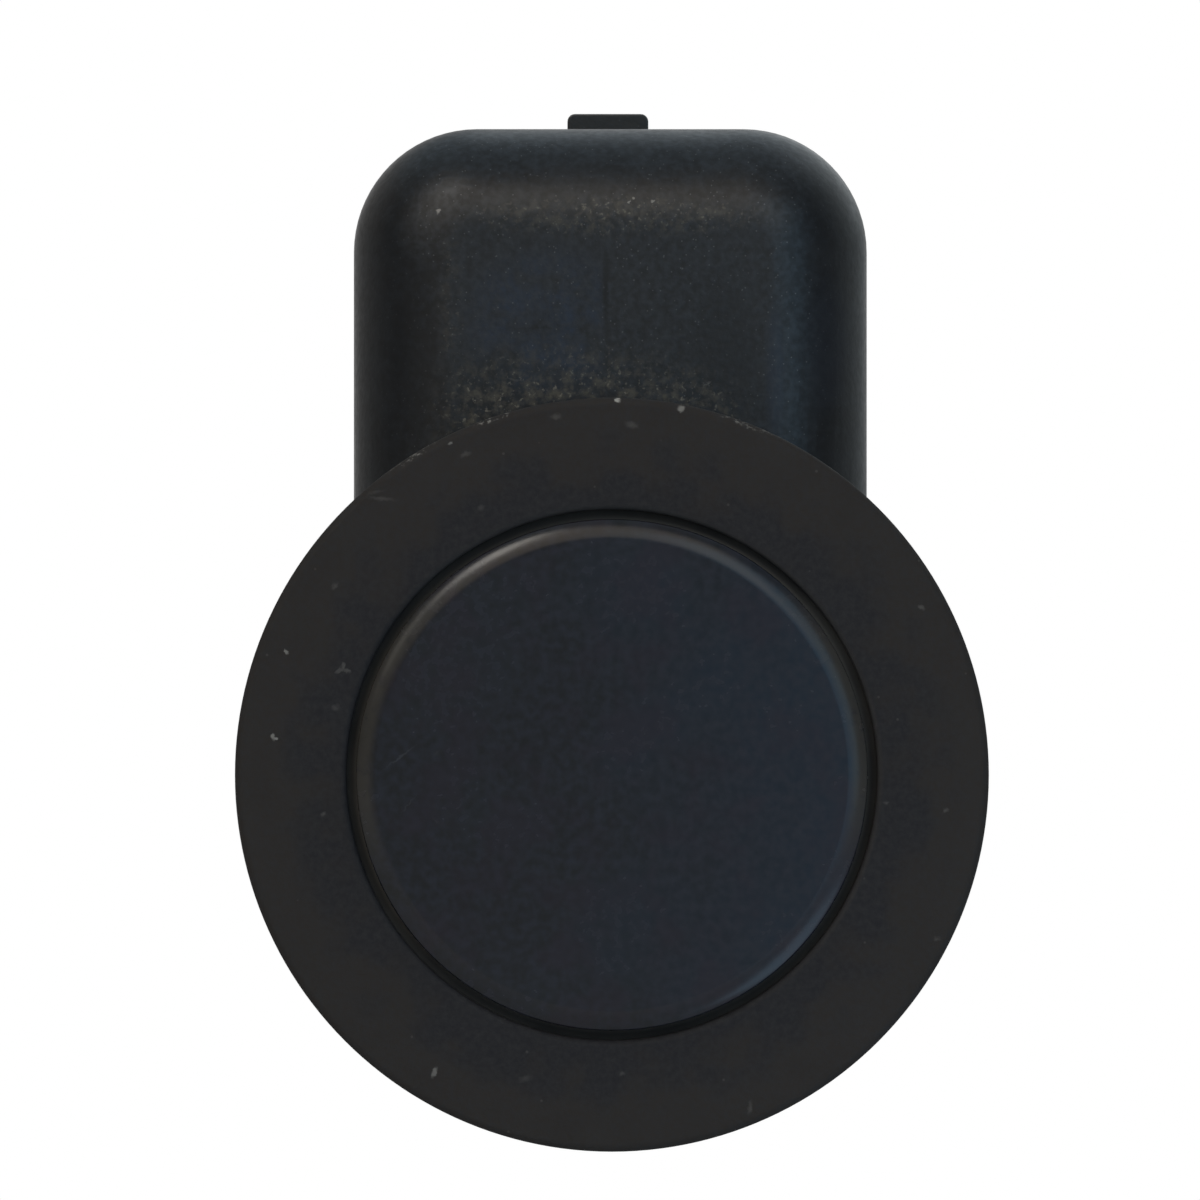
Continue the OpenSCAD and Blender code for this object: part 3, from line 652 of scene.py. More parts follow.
def housing_plastic():
    """The housing's plastic: a painted bluish reflection and sheen streaks, painted shade and painted
    glints on the flats, brown dust round the head and along the top fillet's highlight, a flow line and
    scratches.
    """
    finish, colour, rough = grained_plastic("housing_plastic", tone(9, 10, 12), tone(13, 15, 18))
    x, y, z = finish.split()
    radius = finish.flat_length()
    aside = finish.calc("ABSOLUTE", x)
    # Front-face share: it weighs the pale grain and the painted glints laid on the front.
    sheen_share = finish.product(finish.band(aside, 7.4, 5.4), finish.band(y, 3.6, 0.9))
    # Painted reflection: a ragged bluish patch on the left of the flat.
    painted_reflection_patch = finish.product(
        finish.band(x, -0.1, -0.4),
        finish.band(finish.noise(0.9, 4, 0.6), 0.35, 0.6),
        finish.marks([(-2.0, 14.0, 6.4, 5.6, 0, 1.0)], 0.45),
        finish.band(finish.noise(3.5, 4, 0.7), 0.32, 0.68, 0.4, 1.2),
    )
    # Painted reflection: a narrow bluish sheen streak on the right and a faint blue band on the right
    # fillet.
    painted_sheen_streaks = finish.marks([(5.12, 12.4, 5.6, 0.8, 90, 0.5), (6.75, 13.3, 6.0, 2.0, 90, 0.18)], 0.35)
    colour = finish.mix(finish.calc("MAXIMUM", painted_reflection_patch, painted_sheen_streaks), colour, tone(18, 30, 46))
    colour = lay_grain(finish, colour, finish.band(sheen_share, 0.0, 1.0, 0.2, 1.0))
    # Painted shade: darker patches on the flat's right part and down the left fillet, where little light
    # is mirrored.
    painted_shade_patches = [
        (3.55, 12.6, 7.0, 2.6, 90, 0.5),
        (-6.1, 13.0, 7.0, 1.8, 90, 0.45),
        (-4.3, 12.0, 3.6, 2.4, 0, 0.3),
    ]
    colour = finish.mix(finish.marks(painted_shade_patches, 0.5), colour, tone(5, 7, 10))
    spread = finish.calc("ADD", radius, finish.product(x, 0.1))
    head_dust = finish.product(
        finish.band(spread, 13.7, 11.8),
        finish.band(y, 4.0, 1.5),
        finish.band(x, -6.0, -4.2),
        finish.band(x, 4.8, 2.8),
        finish.band(z, 3.0, 6.0),
        finish.band(radius, 11.45, 11.75),
    )
    # Dust at the left, and a band along the top fillet that follows its highlight: there the clumps and
    # bright grit are partly a painted highlight.
    dust_and_fillet_sheen = finish.marks([(-5.0, 14.5, 6.0, 1.0, 90, 0.3), (0.2, 17.3, 11.5, 1.6, 0, 0.6)], 0.4)
    dust_and_sheen = finish.calc("MAXIMUM", head_dust, dust_and_fillet_sheen)
    clumps = finish.product(dust_and_sheen, finish.band(finish.noise(2.6, 3, 0.65), 0.42, 0.7), 0.9)
    colour = finish.mix(clumps, colour, tone(62, 59, 51))
    grit_and_glints = finish.product(dust_and_sheen, finish.band(finish.noise(6, 2, 0.6), 0.58, 0.72), 0.6)
    colour = finish.mix(grit_and_glints, colour, tone(104, 100, 90))
    pits = [
        (-0.16, 15.0, 3.6, 0.3, 90, 0.8),
        (4.17, 16.25, 0.3, 0.22, 80, 0.8),
        (0.89, 13.69, 0.2, 0.16, 0, 0.8),
        (-2.5, 13.8, 2.6, 0.12, 3, 0.4),
    ]
    colour = finish.mix(finish.marks(pits, 0.2), colour, tone(3, 3, 4))
    specks = [
        (-5.37, 17.47, 0.22, 0.16, 30, 0.7),
        (0.56, 17.75, 0.18, 0.12, 50, 0.6),
        (0.71, 17.87, 0.14, 0.12, 0, 0.6),
        (1.3, 17.78, 0.18, 0.12, 20, 0.6),
        (-3.0, 12.2, 0.7, 0.08, -8, 0.1),
        (3.0, 12.07, 0.4, 0.1, 40, 0.15),
    ]
    colour = finish.mix(finish.marks(specks), colour, tone(120, 118, 114))
    corner = finish.marks([(-5.5, 17.2, 3.4, 2.8, 45, 0.09)], 0.5)
    rough = finish.calc("ADD", rough, corner)
    finish.set(Base_Color=colour, Roughness=rough, Specular_IOR_Level=0.32)
    return finish.material


def cover_plastic():
    """The cover's plastic, a shade lighter."""
    finish, colour, rough = grained_plastic("cover_plastic", tone(16, 18, 19), tone(21, 24, 25))
    # Pale grain with painted glints.
    colour = lay_grain(finish, colour, 0.4)
    finish.set(Base_Color=colour, Roughness=rough, Specular_IOR_Level=0.32)
    return finish.material


def sleeve_silicone():
    """Matte dark silicone, painted lighter where it meets the membrane."""
    finish = Finish("sleeve_silicone")
    fine = finish.noise(4, 3)
    middle = (MEMBRANE_R + GROOVE_W / 2) / MM
    aside = finish.calc("SUBTRACT", finish.flat_length(), middle)
    # Painted light: the groove floor is made lighter next to the membrane's rim.
    corner = finish.band(aside, 0.0, -0.16)
    colour = finish.mix(finish.band(finish.noise(0.5, 4), 0.3, 0.7), tone(32, 32, 32), tone(39, 39, 38))
    colour = finish.mix(corner, colour, tone(56, 55, 53))
    rough = finish.band(fine, 0.25, 0.75, 0.7, 0.85)
    finish.set(Base_Color=colour, Roughness=rough, Specular_IOR_Level=0.1)
    finish.bump([(fine, 0.12)], 0.05 * MM)
    return finish.material


def mottled(name, dark, light, scale, roughness, metallic=0.0):
    """A plain mottled finish for a piece inside."""
    finish = Finish(name)
    cloud = finish.noise(scale, 4)
    fine = finish.noise(scale * 8, 3)
    low, high = roughness
    finish.set(
        Base_Color=finish.mix(finish.band(cloud, 0.3, 0.7), dark, light),
        Roughness=finish.band(fine, 0.25, 0.75, low, high),
        Metallic=metallic,
    )
    finish.bump([(fine, 0.12)], 0.05 * MM)
    return finish.material


def build_ring():
    """Soft ring round the membrane, with its lip in front of the collar."""
    inner_r = COLLAR_R + FIT
    bead = BEAD_R + FIT
    ring = turn_piece("soft_ring", [
        (RING_BORE_R, Y_RING, RING_BORE_EDGE_R),
        (RING_R, Y_RING, RING_EDGE_R),
        (RING_R, RING_HIGH.y, SEAM_EDGE),
        (inner_r, RING_HIGH.y, 0),
        (inner_r, Y_BEAD + bead, 0),
        (inner_r + BEAD_R, Y_BEAD + bead / 2, 0),
        (inner_r + BEAD_R, Y_BEAD - bead / 2, 0),
        (inner_r, Y_BEAD - bead, 0),
        (inner_r, Y_LIP, 0),
        (RING_BORE_R, Y_LIP, 0),
    ])
    finish_piece(ring, ring_rubber(), ["decoupling_ring"])


def build_pot():
    """Deep-drawn pot: painted membrane in front, flange and oblong cavity behind."""
    fall = math.asin(MEMBRANE_RIM_W / MEMBRANE_RIM_R)
    reach = MEMBRANE_RIM_R * math.tan(fall / 2)
    pot = turn_piece("painted_membrane", [
        (0, Y_MEMBRANE, 0),
        (MEMBRANE_R - MEMBRANE_RIM_W + reach, Y_MEMBRANE, reach - 1.5 * PIN_EDGE),
        (MEMBRANE_R, Y_MEMBRANE + MEMBRANE_RIM_R * (1 - math.cos(fall)), PIN_EDGE),
        (MEMBRANE_R, Y_LIP, 0),
        (POT_R, Y_LIP, 0),
        (POT_R, Y_POT_END - POT_FLANGE_T, 0),
        (FLANGE_R, Y_POT_END - POT_FLANGE_T, 0),
        (FLANGE_R, Y_POT_END, 0),
        (0, Y_POT_END, 0),
    ])
    half_short = CAVITY_SHORT / 2
    half_long = CAVITY_LONG / 2
    cavity = add_round_block(
        "cavity",
        (-half_short, Y_PIEZO, -half_long),
        (half_short, Y_POT_END + OVER, half_long),
        half_short - TOUCH,
        POT_CAVITY_STEPS,
    )
    combine(pot, cavity, "DIFFERENCE")
    finish_piece(pot, membrane_paint(), ["membrane_pot"])


def build_head():
    """Collar with its bead, and the shoulder behind it."""
    return turn_piece("head", [
        (0, Y_LIP, 0),
        (COLLAR_R, Y_LIP, SEAM_EDGE),
        (COLLAR_R, Y_BEAD - BEAD_R, 0),
        (COLLAR_R + BEAD_R, Y_BEAD - BEAD_R / 2, 0),
        (COLLAR_R + BEAD_R, Y_BEAD + BEAD_R / 2, 0),
        (COLLAR_R, Y_BEAD + BEAD_R, 0),
        (COLLAR_R, 0, 0),
        (SHOULDER_R, 0, MOULD_EDGE),
        (SHOULDER_R, Y_PARTITION_END - SHOULDER_CHAMFER, MOULD_EDGE),
        (SHOULDER_R - SHOULDER_CHAMFER, Y_PARTITION_END, MOULD_EDGE),
        (0, Y_PARTITION_END, 0),
    ])


def build_lug():
    """Ramped lug on the housing's right side."""
    y_start = Y_PARTITION_END + LUG_GAP
    low = (BOX_X - BOX_WALL / 2, y_start, -LUG_W / 2)
    high = (BOX_X + LUG_H, y_start + LUG_RAMP + LUG_CREST, LUG_W / 2)
    lug = add_block("lug", low, high)
    cut_off(lug, (BOX_X, y_start, 0), (LUG_RAMP, -LUG_H, 0))
    soften(lug, MOULD_EDGE)
    return lug


def build_cavity():
    """Space inside the housing, less the wall round the head's bore."""
    cavity = add_round_block(
        "housing_cavity",
        (-BOX_X + BOX_WALL, BOX_WALL, BOX_LOW + BOX_WALL),
        (BOX_X - BOX_WALL, Y_COVER + OVER, BOX_TOP - BOX_WALL),
        BOX_CORNER_R - BOX_WALL,
        INSIDE_CORNER_STEPS,
    )
    round_edges(cavity, at_y(BOX_WALL), BOX_EDGE_R - BOX_WALL, INSIDE_EDGE_STEPS)
    core = turn_piece("core", [
        (0, -OVER, 0),
        (COLLAR_R, -OVER, 0),
        (COLLAR_R, Y_PARTITION_END, 0),
        (0, Y_PARTITION_END, 0),
    ])
    combine(cavity, core, "DIFFERENCE")
    return cavity


def build_housing():
    """Moulded housing: soft-edged box, round head, snap lugs and key."""
    housing = add_round_block(
        "moulded_housing",
        (-BOX_X, 0, BOX_LOW),
        (BOX_X, Y_COVER, BOX_TOP),
        BOX_CORNER_R,
        BOX_CORNER_STEPS,
    )
    round_edges(housing, at_y(0), BOX_EDGE_R, BOX_EDGE_STEPS)
    round_edges(housing, at_y(Y_COVER), SEAM_EDGE, SEAM_STEPS)
    combine(housing, build_head(), "UNION")
    key = add_block(
        "key",
        (-KEY_W / 2, KEY_INSET, KEY_LOW),
        (KEY_W / 2, Y_PARTITION_END - SHOULDER_CHAMFER, KEY_LOW + 2 * OVER),
    )
    soften(key, MOULD_EDGE)
    combine(housing, key, "UNION")
    combine(housing, build_cavity(), "DIFFERENCE")
    lug = build_lug()
    other_lug = copy_moved(lug, "other_lug", half_turn=True)
    combine(housing, lug, "UNION")
    combine(housing, other_lug, "UNION")
    inner_x = BOX_X - BOX_WALL
    ledge = add_block(
        "ledge",
        (inner_x - LEDGE_W, BOX_WALL, BOX_LOW + BOX_CORNER_R),
        (inner_x + FIT, Y_BOARD, BOX_TOP - BOX_CORNER_R),
    )
    other_ledge = copy_moved(ledge, "other_ledge", step=(-2 * inner_x + LEDGE_W - FIT, 0, 0))
    combine(housing, ledge, "UNION")
    combine(housing, other_ledge, "UNION")
    bore = turn_piece("bore", [
        (0, Y_LIP - OVER, 0),
        (BORE_R, Y_LIP - OVER, 0),
        (BORE_R, Y_BORE_END, 0),
        (LEAD_OPENING_R, Y_BORE_END, 0),
        (LEAD_OPENING_R, Y_PARTITION_END + OVER, 0),
        (0, Y_PARTITION_END + OVER, 0),
    ])
    combine(housing, bore, "DIFFERENCE")
    finish_piece(housing, housing_plastic(), ["housing"])


def build_shroud():
    """Open shroud that takes the plug, drawn in from its mouth."""
    shroud = add_round_block(
        "shroud",
        (-SHROUD_X, Y_COVER_END - COVER_T / 2, SHROUD_LOW),
        (SHROUD_X, Y_MOUTH, SHROUD_TOP),
        SHROUD_CORNER_R,
        SHROUD_CORNER_STEPS,
    )
    pick_faces(shroud, lambda middle, normal: normal.y > 0.9)
    bpy.ops.mesh.inset(thickness=SHROUD_WALL)
    socket_depth = Y_MOUTH - Y_COVER_END + FIT
    bpy.ops.mesh.extrude_region_move(TRANSFORM_OT_translate={"value": (0, -socket_depth, 0)})
    close_piece()
    round_edges(shroud, at_y(Y_MOUTH), MOULD_EDGE, MOUTH_STEPS)
    return shroud


def build_nose():
    """Latch nose on the shroud, with its ramp to the mouth."""
    y_end = Y_MOUTH - NOSE_SETBACK
    y_start = y_end - NOSE_RAMP - NOSE_CREST
    nose = add_block(
        "nose",
        (-NOSE_W / 2, y_start, SHROUD_TOP - SHROUD_WALL / 2),
        (NOSE_W / 2, y_end, NOSE_TOP),
    )
    rise = NOSE_TOP - SHROUD_TOP
    cut_off(nose, (0, y_end, SHROUD_TOP), (0, rise, NOSE_RAMP))

    def side_edge(a, b):
        return abs(a.x - b.x) < TOUCH and min(a.z, b.z) > SHROUD_TOP - TOUCH and abs(a.y - b.y) > TOUCH

    round_edges(nose, side_edge, NOSE_CORNER_R, NOSE_CORNER_STEPS)
    soften(nose, NOSE_EDGE, FINE_EDGE_STEPS)
    return nose


def build_gusset():
    """Gusset under the shroud."""
    x_middle = PIN_PITCH
    low = (x_middle - GUSSET_T / 2, Y_COVER_END - COVER_T / 2, SHROUD_LOW - GUSSET_LEG)
    high = (x_middle + GUSSET_T / 2, Y_COVER_END + GUSSET_LEG, SHROUD_LOW + SHROUD_WALL / 2)
    gusset = add_block("gusset", low, high)
    cut_off(gusset, (0, Y_COVER_END, SHROUD_LOW - GUSSET_LEG), (0, 1, -1))
    soften(gusset, MOULD_EDGE)
    return gusset


def build_cover():
    """Rear cover: plate, plug shroud and what reaches into the housing."""
    cover = add_round_block(
        "rear_cover_moulding",
        (-BOX_X, Y_COVER, BOX_LOW),
        (BOX_X, Y_COVER_END, BOX_TOP),
        BOX_CORNER_R,
        BOX_CORNER_STEPS,
    )
    round_edges(cover, at_y(Y_COVER_END), COVER_EDGE_R, COVER_EDGE_STEPS)
    round_edges(cover, at_y(Y_COVER), SEAM_EDGE, SEAM_STEPS)
    combine(cover, build_shroud(), "UNION")
    combine(cover, build_nose(), "UNION")
    guide = add_block(
        "guide",
        (SHROUD_X - GUIDE_H, Y_COVER_END - COVER_T / 2, CONNECTOR_Z - GUIDE_W / 2),
        (SHROUD_X + GUIDE_H, Y_MOUTH - GUIDE_SETBACK, CONNECTOR_Z + GUIDE_W / 2),
    )
    soften(guide, MOULD_EDGE)
    other_guide = copy_moved(guide, "other_guide", step=(-2 * SHROUD_X, 0, 0))
    inner_key = add_block(
        "inner_key",
        (-GUIDE_W / 2, Y_COVER_END - COVER_T / 2, SHROUD_LOW + SHROUD_WALL / 2),
        (GUIDE_W / 2, Y_MOUTH - GUIDE_SETBACK, SHROUD_LOW + SHROUD_WALL + GUIDE_H),
    )
    soften(inner_key, MOULD_EDGE)
    gusset = build_gusset()
    other_gusset = copy_moved(gusset, "other_gusset", step=(-2 * PIN_PITCH, 0, 0))
    for form in (guide, other_guide, inner_key, gusset, other_gusset):
        combine(cover, form, "UNION")
    inset = BOX_WALL + FIT
    lip = add_round_block(
        "lip",
        (-BOX_X + inset, Y_COVER - COVER_LIP_L, BOX_LOW + inset),
        (BOX_X - inset, Y_COVER + COVER_T / 2, BOX_TOP - inset),
        BOX_CORNER_R - inset,
        LIP_STEPS,
    )
    pick_faces(lip, lambda middle, normal: normal.y < -0.9)
    bpy.ops.mesh.inset(thickness=COVER_LIP_WALL)
    bpy.ops.mesh.extrude_region_move(TRANSFORM_OT_translate={"value": (0, COVER_LIP_L + FIT, 0)})
    close_piece()
    combine(cover, lip, "UNION")
    for x in (BOARD_LOW.x + POST_INSET, BOARD_HIGH.x - POST_INSET):
        for z in (BOARD_LOW.z + POST_INSET, BOARD_HIGH.z - POST_INSET):
            post = add_round_block(
                "post",
                (x - POST_R, Y_BOARD_END, z - POST_R),
                (x + POST_R, Y_COVER + COVER_T / 2, z + POST_R),
                POST_R - TOUCH,
                POST_STEPS,
            )
            combine(cover, post, "UNION")
    boss = add_block(
        "boss",
        (-PIN_PITCH - PIN_W / 2 - BOSS_WALL, Y_COVER - BOSS_L, CONNECTOR_Z - PIN_W / 2 - BOSS_WALL),
        (PIN_PITCH + PIN_W / 2 + BOSS_WALL, Y_COVER + COVER_T / 2, CONNECTOR_Z + PIN_W / 2 + BOSS_WALL),
    )
    combine(cover, boss, "UNION")
    for place in (-1, 0, 1):
        slot = add_block(
            "pin_slot",
            (place * PIN_PITCH - PIN_W / 2, Y_COVER - BOSS_L - OVER, CONNECTOR_Z - PIN_W / 2),
            (place * PIN_PITCH + PIN_W / 2, Y_COVER_END + OVER, CONNECTOR_Z + PIN_W / 2),
        )
        combine(cover, slot, "DIFFERENCE")
    finish_piece(cover, cover_plastic(), ["rear_cover"])


def build_pins():
    """Three square blades, drawn out and tapered at the tip."""
    metal = mottled("pin_metal", tone(196, 186, 160), tone(222, 214, 192), 1.2, (0.22, 0.36), 1.0)
    pin = add_block(
        "signal_blade",
        (PIN_LOW.x, PIN_LOW.y, PIN_LOW.z),
        (PIN_HIGH.x, PIN_HIGH.y - PIN_TAPER, PIN_HIGH.z),
    )
    pick_faces(pin, lambda middle, normal: normal.y > 0.9)
    bpy.ops.mesh.extrude_region_move(TRANSFORM_OT_translate={"value": (0, PIN_TAPER, 0)})
    bpy.ops.transform.resize(
        value=(PIN_TIP_SHARE, 1, PIN_TIP_SHARE),
        center_override=(0, PIN_HIGH.y, CONNECTOR_Z),
    )
    close_piece()
    soften(pin, PIN_EDGE, FINE_EDGE_STEPS)
    supply = copy_moved(pin, "supply_blade", step=(-PIN_PITCH, 0, 0))
    ground = copy_moved(pin, "ground_blade", step=(PIN_PITCH, 0, 0))
    for piece, node in ((pin, "signal_pin"), (supply, "supply_pin"), (ground, "ground_pin")):
        finish_piece(piece, metal, [node])


def dress_nodes(names, material):
    """Gives nodes of the frame their finish."""
    for name in names:
        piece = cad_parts[name]
        piece.data.materials.clear()
        piece.data.materials.append(material)


def numbered(start):
    """The nodes whose names start alike."""
    return [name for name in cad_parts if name.startswith(start)]


def dress_inside():
    """Finishes of the pieces inside."""
    dress_nodes(["pot_sleeve"], sleeve_silicone())
    ceramic = mottled("piezo_ceramic", tone(186, 178, 150), tone(206, 200, 178), 1.5, (0.3, 0.5))
    dress_nodes(["piezo_disc"], ceramic)
    foam = mottled("foam", tone(58, 58, 60), tone(98, 98, 100), 3.0, (0.85, 1.0))
    dress_nodes(["damping_foam"], foam)
    filler = mottled("filler_silicone", tone(128, 131, 136), tone(146, 149, 154), 0.6, (0.3, 0.45))
    dress_nodes(["pot_filler"], filler)
    red = mottled("lead_red", tone(140, 24, 18), tone(168, 34, 26), 2.0, (0.35, 0.5))
    dress_nodes(["live_lead"], red)
    black = mottled("lead_black", tone(20, 20, 21), tone(32, 32, 33), 2.0, (0.35, 0.5))
    dress_nodes(["ground_lead"], black)
    laminate = mottled("board_laminate", tone(16, 66, 36), tone(24, 86, 48), 0.8, (0.25, 0.4))
    dress_nodes(["circuit_board"], laminate)
    chip = mottled("chip_plastic", tone(26, 26, 28), tone(38, 38, 40), 3.0, (0.5, 0.65))
    dress_nodes(["asic_chip", "transformer_base", "capacitor_base", "protection_diode"], chip)
    ferrite = mottled("ferrite", tone(48, 48, 52), tone(70, 70, 74), 4.0, (0.4, 0.6))
    dress_nodes(["transformer_core"], ferrite)
    copper = mottled("copper_wire", tone(150, 66, 30), tone(196, 96, 48), 6.0, (0.25, 0.4), 1.0)
    dress_nodes(["transformer_coil"], copper)
    can = mottled("can_aluminium", tone(190, 192, 194), tone(214, 216, 218), 3.0, (0.25, 0.4), 1.0)
    dress_nodes(["storage_capacitor"], can)
    chip_ceramic = mottled("chip_ceramic", tone(140, 112, 78), tone(168, 138, 100), 5.0, (0.4, 0.55))
    dress_nodes(numbered("filter_capacitor"), chip_ceramic)
    glaze = mottled("resistor_glaze", tone(24, 24, 25), tone(36, 36, 38), 5.0, (0.3, 0.45))
    dress_nodes(numbered("chip_resistor"), glaze)


# Camera at the head's height and a little to its left, more than a hand's length away
CAMERA_GAP = 250 * MM
CAMERA_X = -1.45 * MM
CAMERA_Z = 5.33 * MM
FRAME_X = -0.366 * MM
FRAME_W = 36.564 * MM
SENSOR_MM = 36


def add_camera():
    """Adds the camera, turned to the middle of the frame."""
    turn = math.atan((FRAME_X - CAMERA_X) / CAMERA_GAP)
    place = (CAMERA_X, Y_RING - CAMERA_GAP, CAMERA_Z)
    bpy.ops.object.camera_add(location=place, rotation=(math.radians(90), 0, -turn))
    camera = bpy.context.object
    camera.data.sensor_width = SENSOR_MM
    camera.data.lens = SENSOR_MM * CAMERA_GAP / FRAME_W
    camera.data.clip_start = 10 * MM
    camera.data.dof.use_dof = False
    bpy.context.scene.camera = camera


AIM = Vector((0, 0, 5 * MM))
LAMP_GAP = 420 * MM


def add_lamp(name, direction, size, colour, level, gap=LAMP_GAP):
    """Adds a soft panel that faces the head from a direction; level is its brightness in a mirror."""
    width, height = size
    place = AIM + Vector(direction).normalized() * gap
    bpy.ops.object.light_add(type="AREA", location=place)
    lamp = bpy.context.object
    lamp.name = name
    lamp.rotation_euler = (AIM - place).to_track_quat("-Z", "Y").to_euler()
    lamp.data.shape = "RECTANGLE"
    lamp.data.size = width
    lamp.data.size_y = height
    lamp.data.color = colour
    lamp.data.energy = level * math.pi * width * height
    lamp.visible_camera = False


def add_lights():
    """A key at the upper left, a strip above the camera, a window at the right, two cards, a rear lamp."""
    add_lamp(
        "key",
        direction=(-0.376, -0.659, 0.652),
        size=(0.12, 0.12),
        colour=(1.0, 0.95, 0.88),
        level=11.5,
    )
    add_lamp(
        "brow",
        direction=(0.0, -0.866, 0.5),
        size=(0.34, 0.25),
        colour=(1.06, 0.9, 0.71),
        level=1.45,
    )
    add_lamp(
        "window",
        direction=(0.39, -0.921, 0.0),
        size=(0.27, 0.59),
        colour=(0.42, 0.8, 1.15),
        level=1.2,
    )
    add_lamp(
        "low_card",
        direction=(0.557, -0.523, -0.645),
        size=(0.026, 0.026),
        colour=(0.55, 0.85, 1.15),
        level=1.65,
        gap=57 * MM,
    )
    add_lamp(
        "left_card",
        direction=(-0.65, -0.643, 0.406),
        size=(0.12, 0.12),
        colour=(1.0, 0.95, 0.86),
        level=1.5,
    )
    add_lamp(
        "rear",
        direction=(0.4, 0.66, 0.64),
        size=(0.42, 0.42),
        colour=(0.9, 0.96, 1.0),
        level=0.5,
    )


# How far the ceiling comes down towards the back
CEILING_LEAN = 0.25


def add_world():
    """White to the camera; to the object a dim room, paler above and behind, with a card at the back."""
    world = bpy.data.worlds.new("studio")
    bpy.context.scene.world = world
    world.use_nodes = True
    tree = world.node_tree
    tree.nodes.clear()

    def background(colour, level):
        made = tree.nodes.new("ShaderNodeBackground")
        made.inputs["Color"].default_value = colour
        made.inputs["Strength"].default_value = level
        return made

    def blend(share, first, second):
        made = tree.nodes.new("ShaderNodeMixShader")
        tree.links.new(share, made.inputs[0])
        tree.links.new(first.outputs[0], made.inputs[1])
        tree.links.new(second.outputs[0], made.inputs[2])
        return made

    def eased(source, low, high):
        made = tree.nodes.new("ShaderNodeMapRange")
        made.interpolation_type = "SMOOTHSTEP"
        tree.links.new(source, made.inputs["Value"])
        made.inputs["From Min"].default_value = low
        made.inputs["From Max"].default_value = high
        return made.outputs[0]

    rays = tree.nodes.new("ShaderNodeLightPath")
    toward = tree.nodes.new("ShaderNodeTexCoord")
    split = tree.nodes.new("ShaderNodeSeparateXYZ")
    tree.links.new(toward.outputs["Generated"], split.inputs[0])
    white = background((1, 1, 1, 1), 1.0)
    front_fill = background((0.95, 0.98, 1.0, 1), 0.45)
    rear_fill = background((0.97, 0.99, 1.0, 1), 0.8)
    back_card = background((1, 1, 1, 1), 0.75)
    room = background((0.9, 0.95, 1.0, 1), 0.06)
    rear_left = background((1.0, 0.98, 0.95, 1), 0.38)
    rear_right = background((0.86, 0.97, 1.0, 1), 0.58)
    ceiling = background((0.74, 0.92, 1.05, 1), 0.52)
    upward = tree.nodes.new("ShaderNodeMath")
    upward.operation = "MULTIPLY_ADD"
    tree.links.new(split.outputs["Y"], upward.inputs[0])
    upward.inputs[1].default_value = CEILING_LEAN
    tree.links.new(split.outputs["Z"], upward.inputs[2])
    rear = blend(eased(split.outputs["X"], -0.2, 0.2), rear_left, rear_right)
    mirrored = blend(eased(split.outputs["Y"], -0.35, 0.35), room, rear)
    mirrored = blend(eased(upward.outputs[0], 0.6, 0.95), mirrored, ceiling)
    mirrored = blend(eased(split.outputs["Y"], 0.8, 1.0), mirrored, back_card)
    sharp = tree.nodes.new("ShaderNodeMath")
    sharp.operation = "MAXIMUM"
    tree.links.new(rays.outputs["Is Glossy Ray"], sharp.inputs[0])
    tree.links.new(rays.outputs["Is Transmission Ray"], sharp.inputs[1])
    fill = blend(eased(split.outputs["Y"], 0.0, 0.6), front_fill, rear_fill)
    seen = blend(sharp.outputs[0], fill, mirrored)
    result = blend(rays.outputs["Is Camera Ray"], seen, white)
    out = tree.nodes.new("ShaderNodeOutputWorld")
    tree.links.new(result.outputs[0], out.inputs[0])


FLOOR_DROP = 45 * MM
FLOOR_W = 6.0
FLOOR_BOUNCE = (0.5, 0.5, 0.5, 1)
FLOOR_TONE = (0.82, 0.82, 0.82, 1)
FLOOR_GLOW = 0.08
FLOOR_NEAR = 0.12
FLOOR_FAR = 0.32


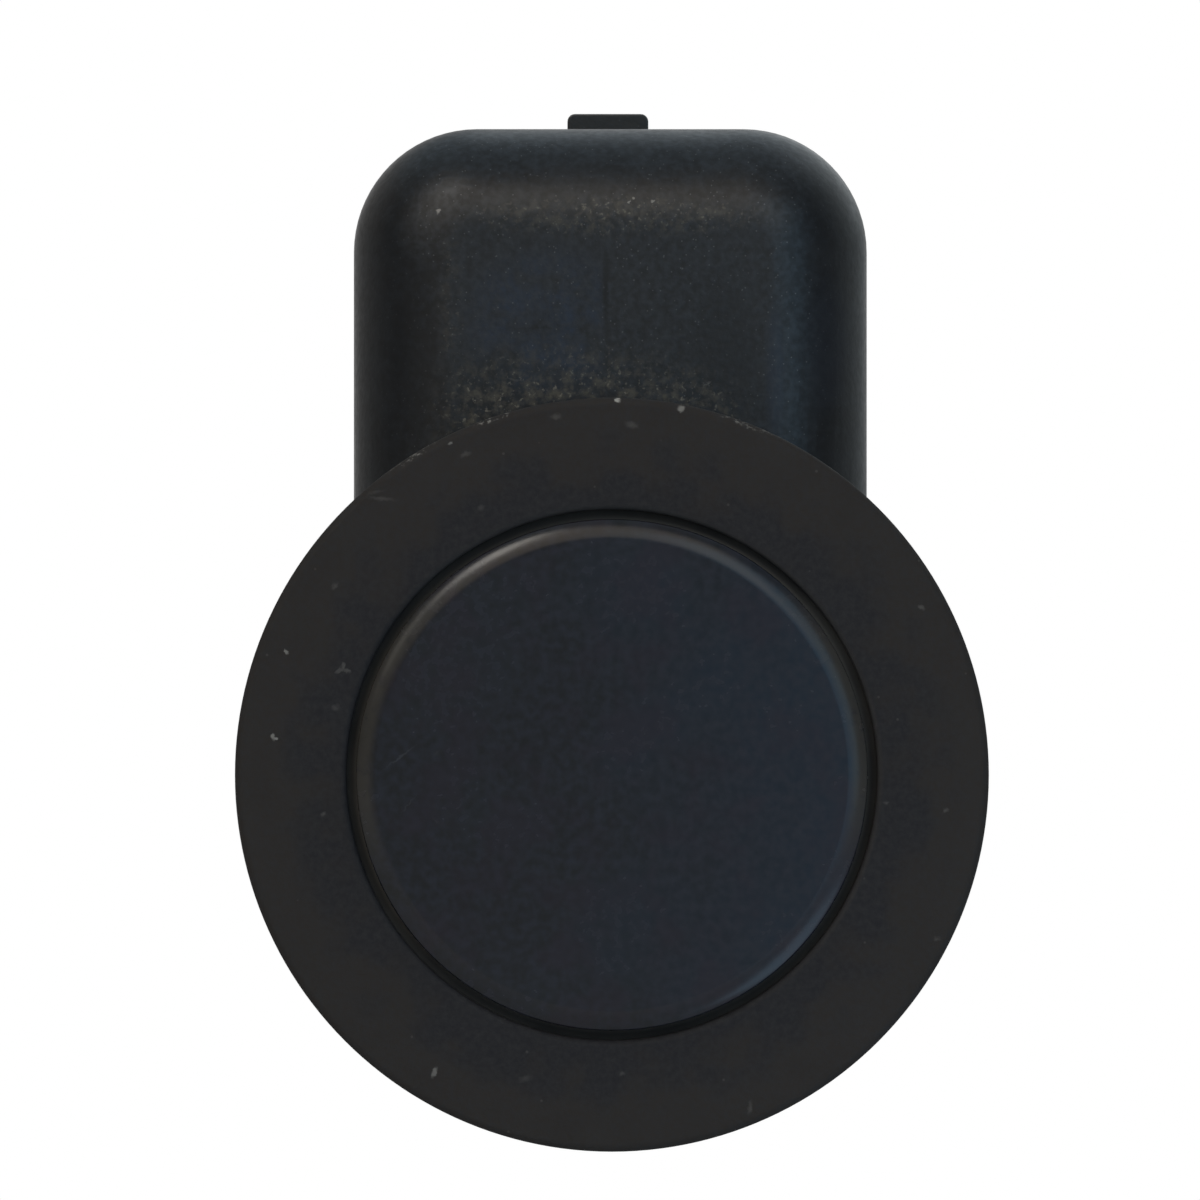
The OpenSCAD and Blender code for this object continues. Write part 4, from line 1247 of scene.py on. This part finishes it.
def add_floor():
    """Pale floor below: it takes the object's shadow near by and is white further off."""
    bpy.ops.mesh.primitive_plane_add(size=FLOOR_W, location=(0, 0, -FLOOR_DROP))
    floor = bpy.context.object
    floor.name = "floor"
    material = bpy.data.materials.new("pale_floor")
    material.use_nodes = True
    tree = material.node_tree
    tree.nodes.clear()
    diffuse = tree.nodes.new("ShaderNodeBsdfDiffuse")
    diffuse.inputs["Color"].default_value = FLOOR_BOUNCE
    shadowed = tree.nodes.new("ShaderNodeBsdfDiffuse")
    shadowed.inputs["Color"].default_value = FLOOR_TONE
    glow = tree.nodes.new("ShaderNodeEmission")
    glow.inputs["Strength"].default_value = FLOOR_GLOW
    near = tree.nodes.new("ShaderNodeAddShader")
    tree.links.new(shadowed.outputs[0], near.inputs[0])
    tree.links.new(glow.outputs[0], near.inputs[1])
    far = tree.nodes.new("ShaderNodeEmission")
    far.inputs["Strength"].default_value = 1.0
    coordinates = tree.nodes.new("ShaderNodeTexCoord")
    length = tree.nodes.new("ShaderNodeVectorMath")
    length.operation = "LENGTH"
    tree.links.new(coordinates.outputs["Object"], length.inputs[0])
    away = tree.nodes.new("ShaderNodeMapRange")
    away.interpolation_type = "SMOOTHSTEP"
    tree.links.new(length.outputs["Value"], away.inputs["Value"])
    away.inputs["From Min"].default_value = FLOOR_NEAR
    away.inputs["From Max"].default_value = FLOOR_FAR
    shown = tree.nodes.new("ShaderNodeMixShader")
    tree.links.new(away.outputs[0], shown.inputs[0])
    tree.links.new(near.outputs[0], shown.inputs[1])
    tree.links.new(far.outputs[0], shown.inputs[2])
    rays = tree.nodes.new("ShaderNodeLightPath")
    above = tree.nodes.new("ShaderNodeMixShader")
    tree.links.new(rays.outputs["Is Camera Ray"], above.inputs[0])
    tree.links.new(diffuse.outputs[0], above.inputs[1])
    tree.links.new(shown.outputs[0], above.inputs[2])
    side = tree.nodes.new("ShaderNodeNewGeometry")
    clear = tree.nodes.new("ShaderNodeBsdfTransparent")
    result = tree.nodes.new("ShaderNodeMixShader")
    tree.links.new(side.outputs["Backfacing"], result.inputs[0])
    tree.links.new(above.outputs[0], result.inputs[1])
    tree.links.new(clear.outputs[0], result.inputs[2])
    out = tree.nodes.new("ShaderNodeOutputMaterial")
    tree.links.new(result.outputs[0], out.inputs[0])
    floor.data.materials.append(material)


add_camera()
bpy.context.scene.view_settings.view_transform = "Standard"
add_world()
add_floor()
add_lights()
build_ring()
build_pot()
build_housing()
build_cover()
build_pins()
dress_inside()
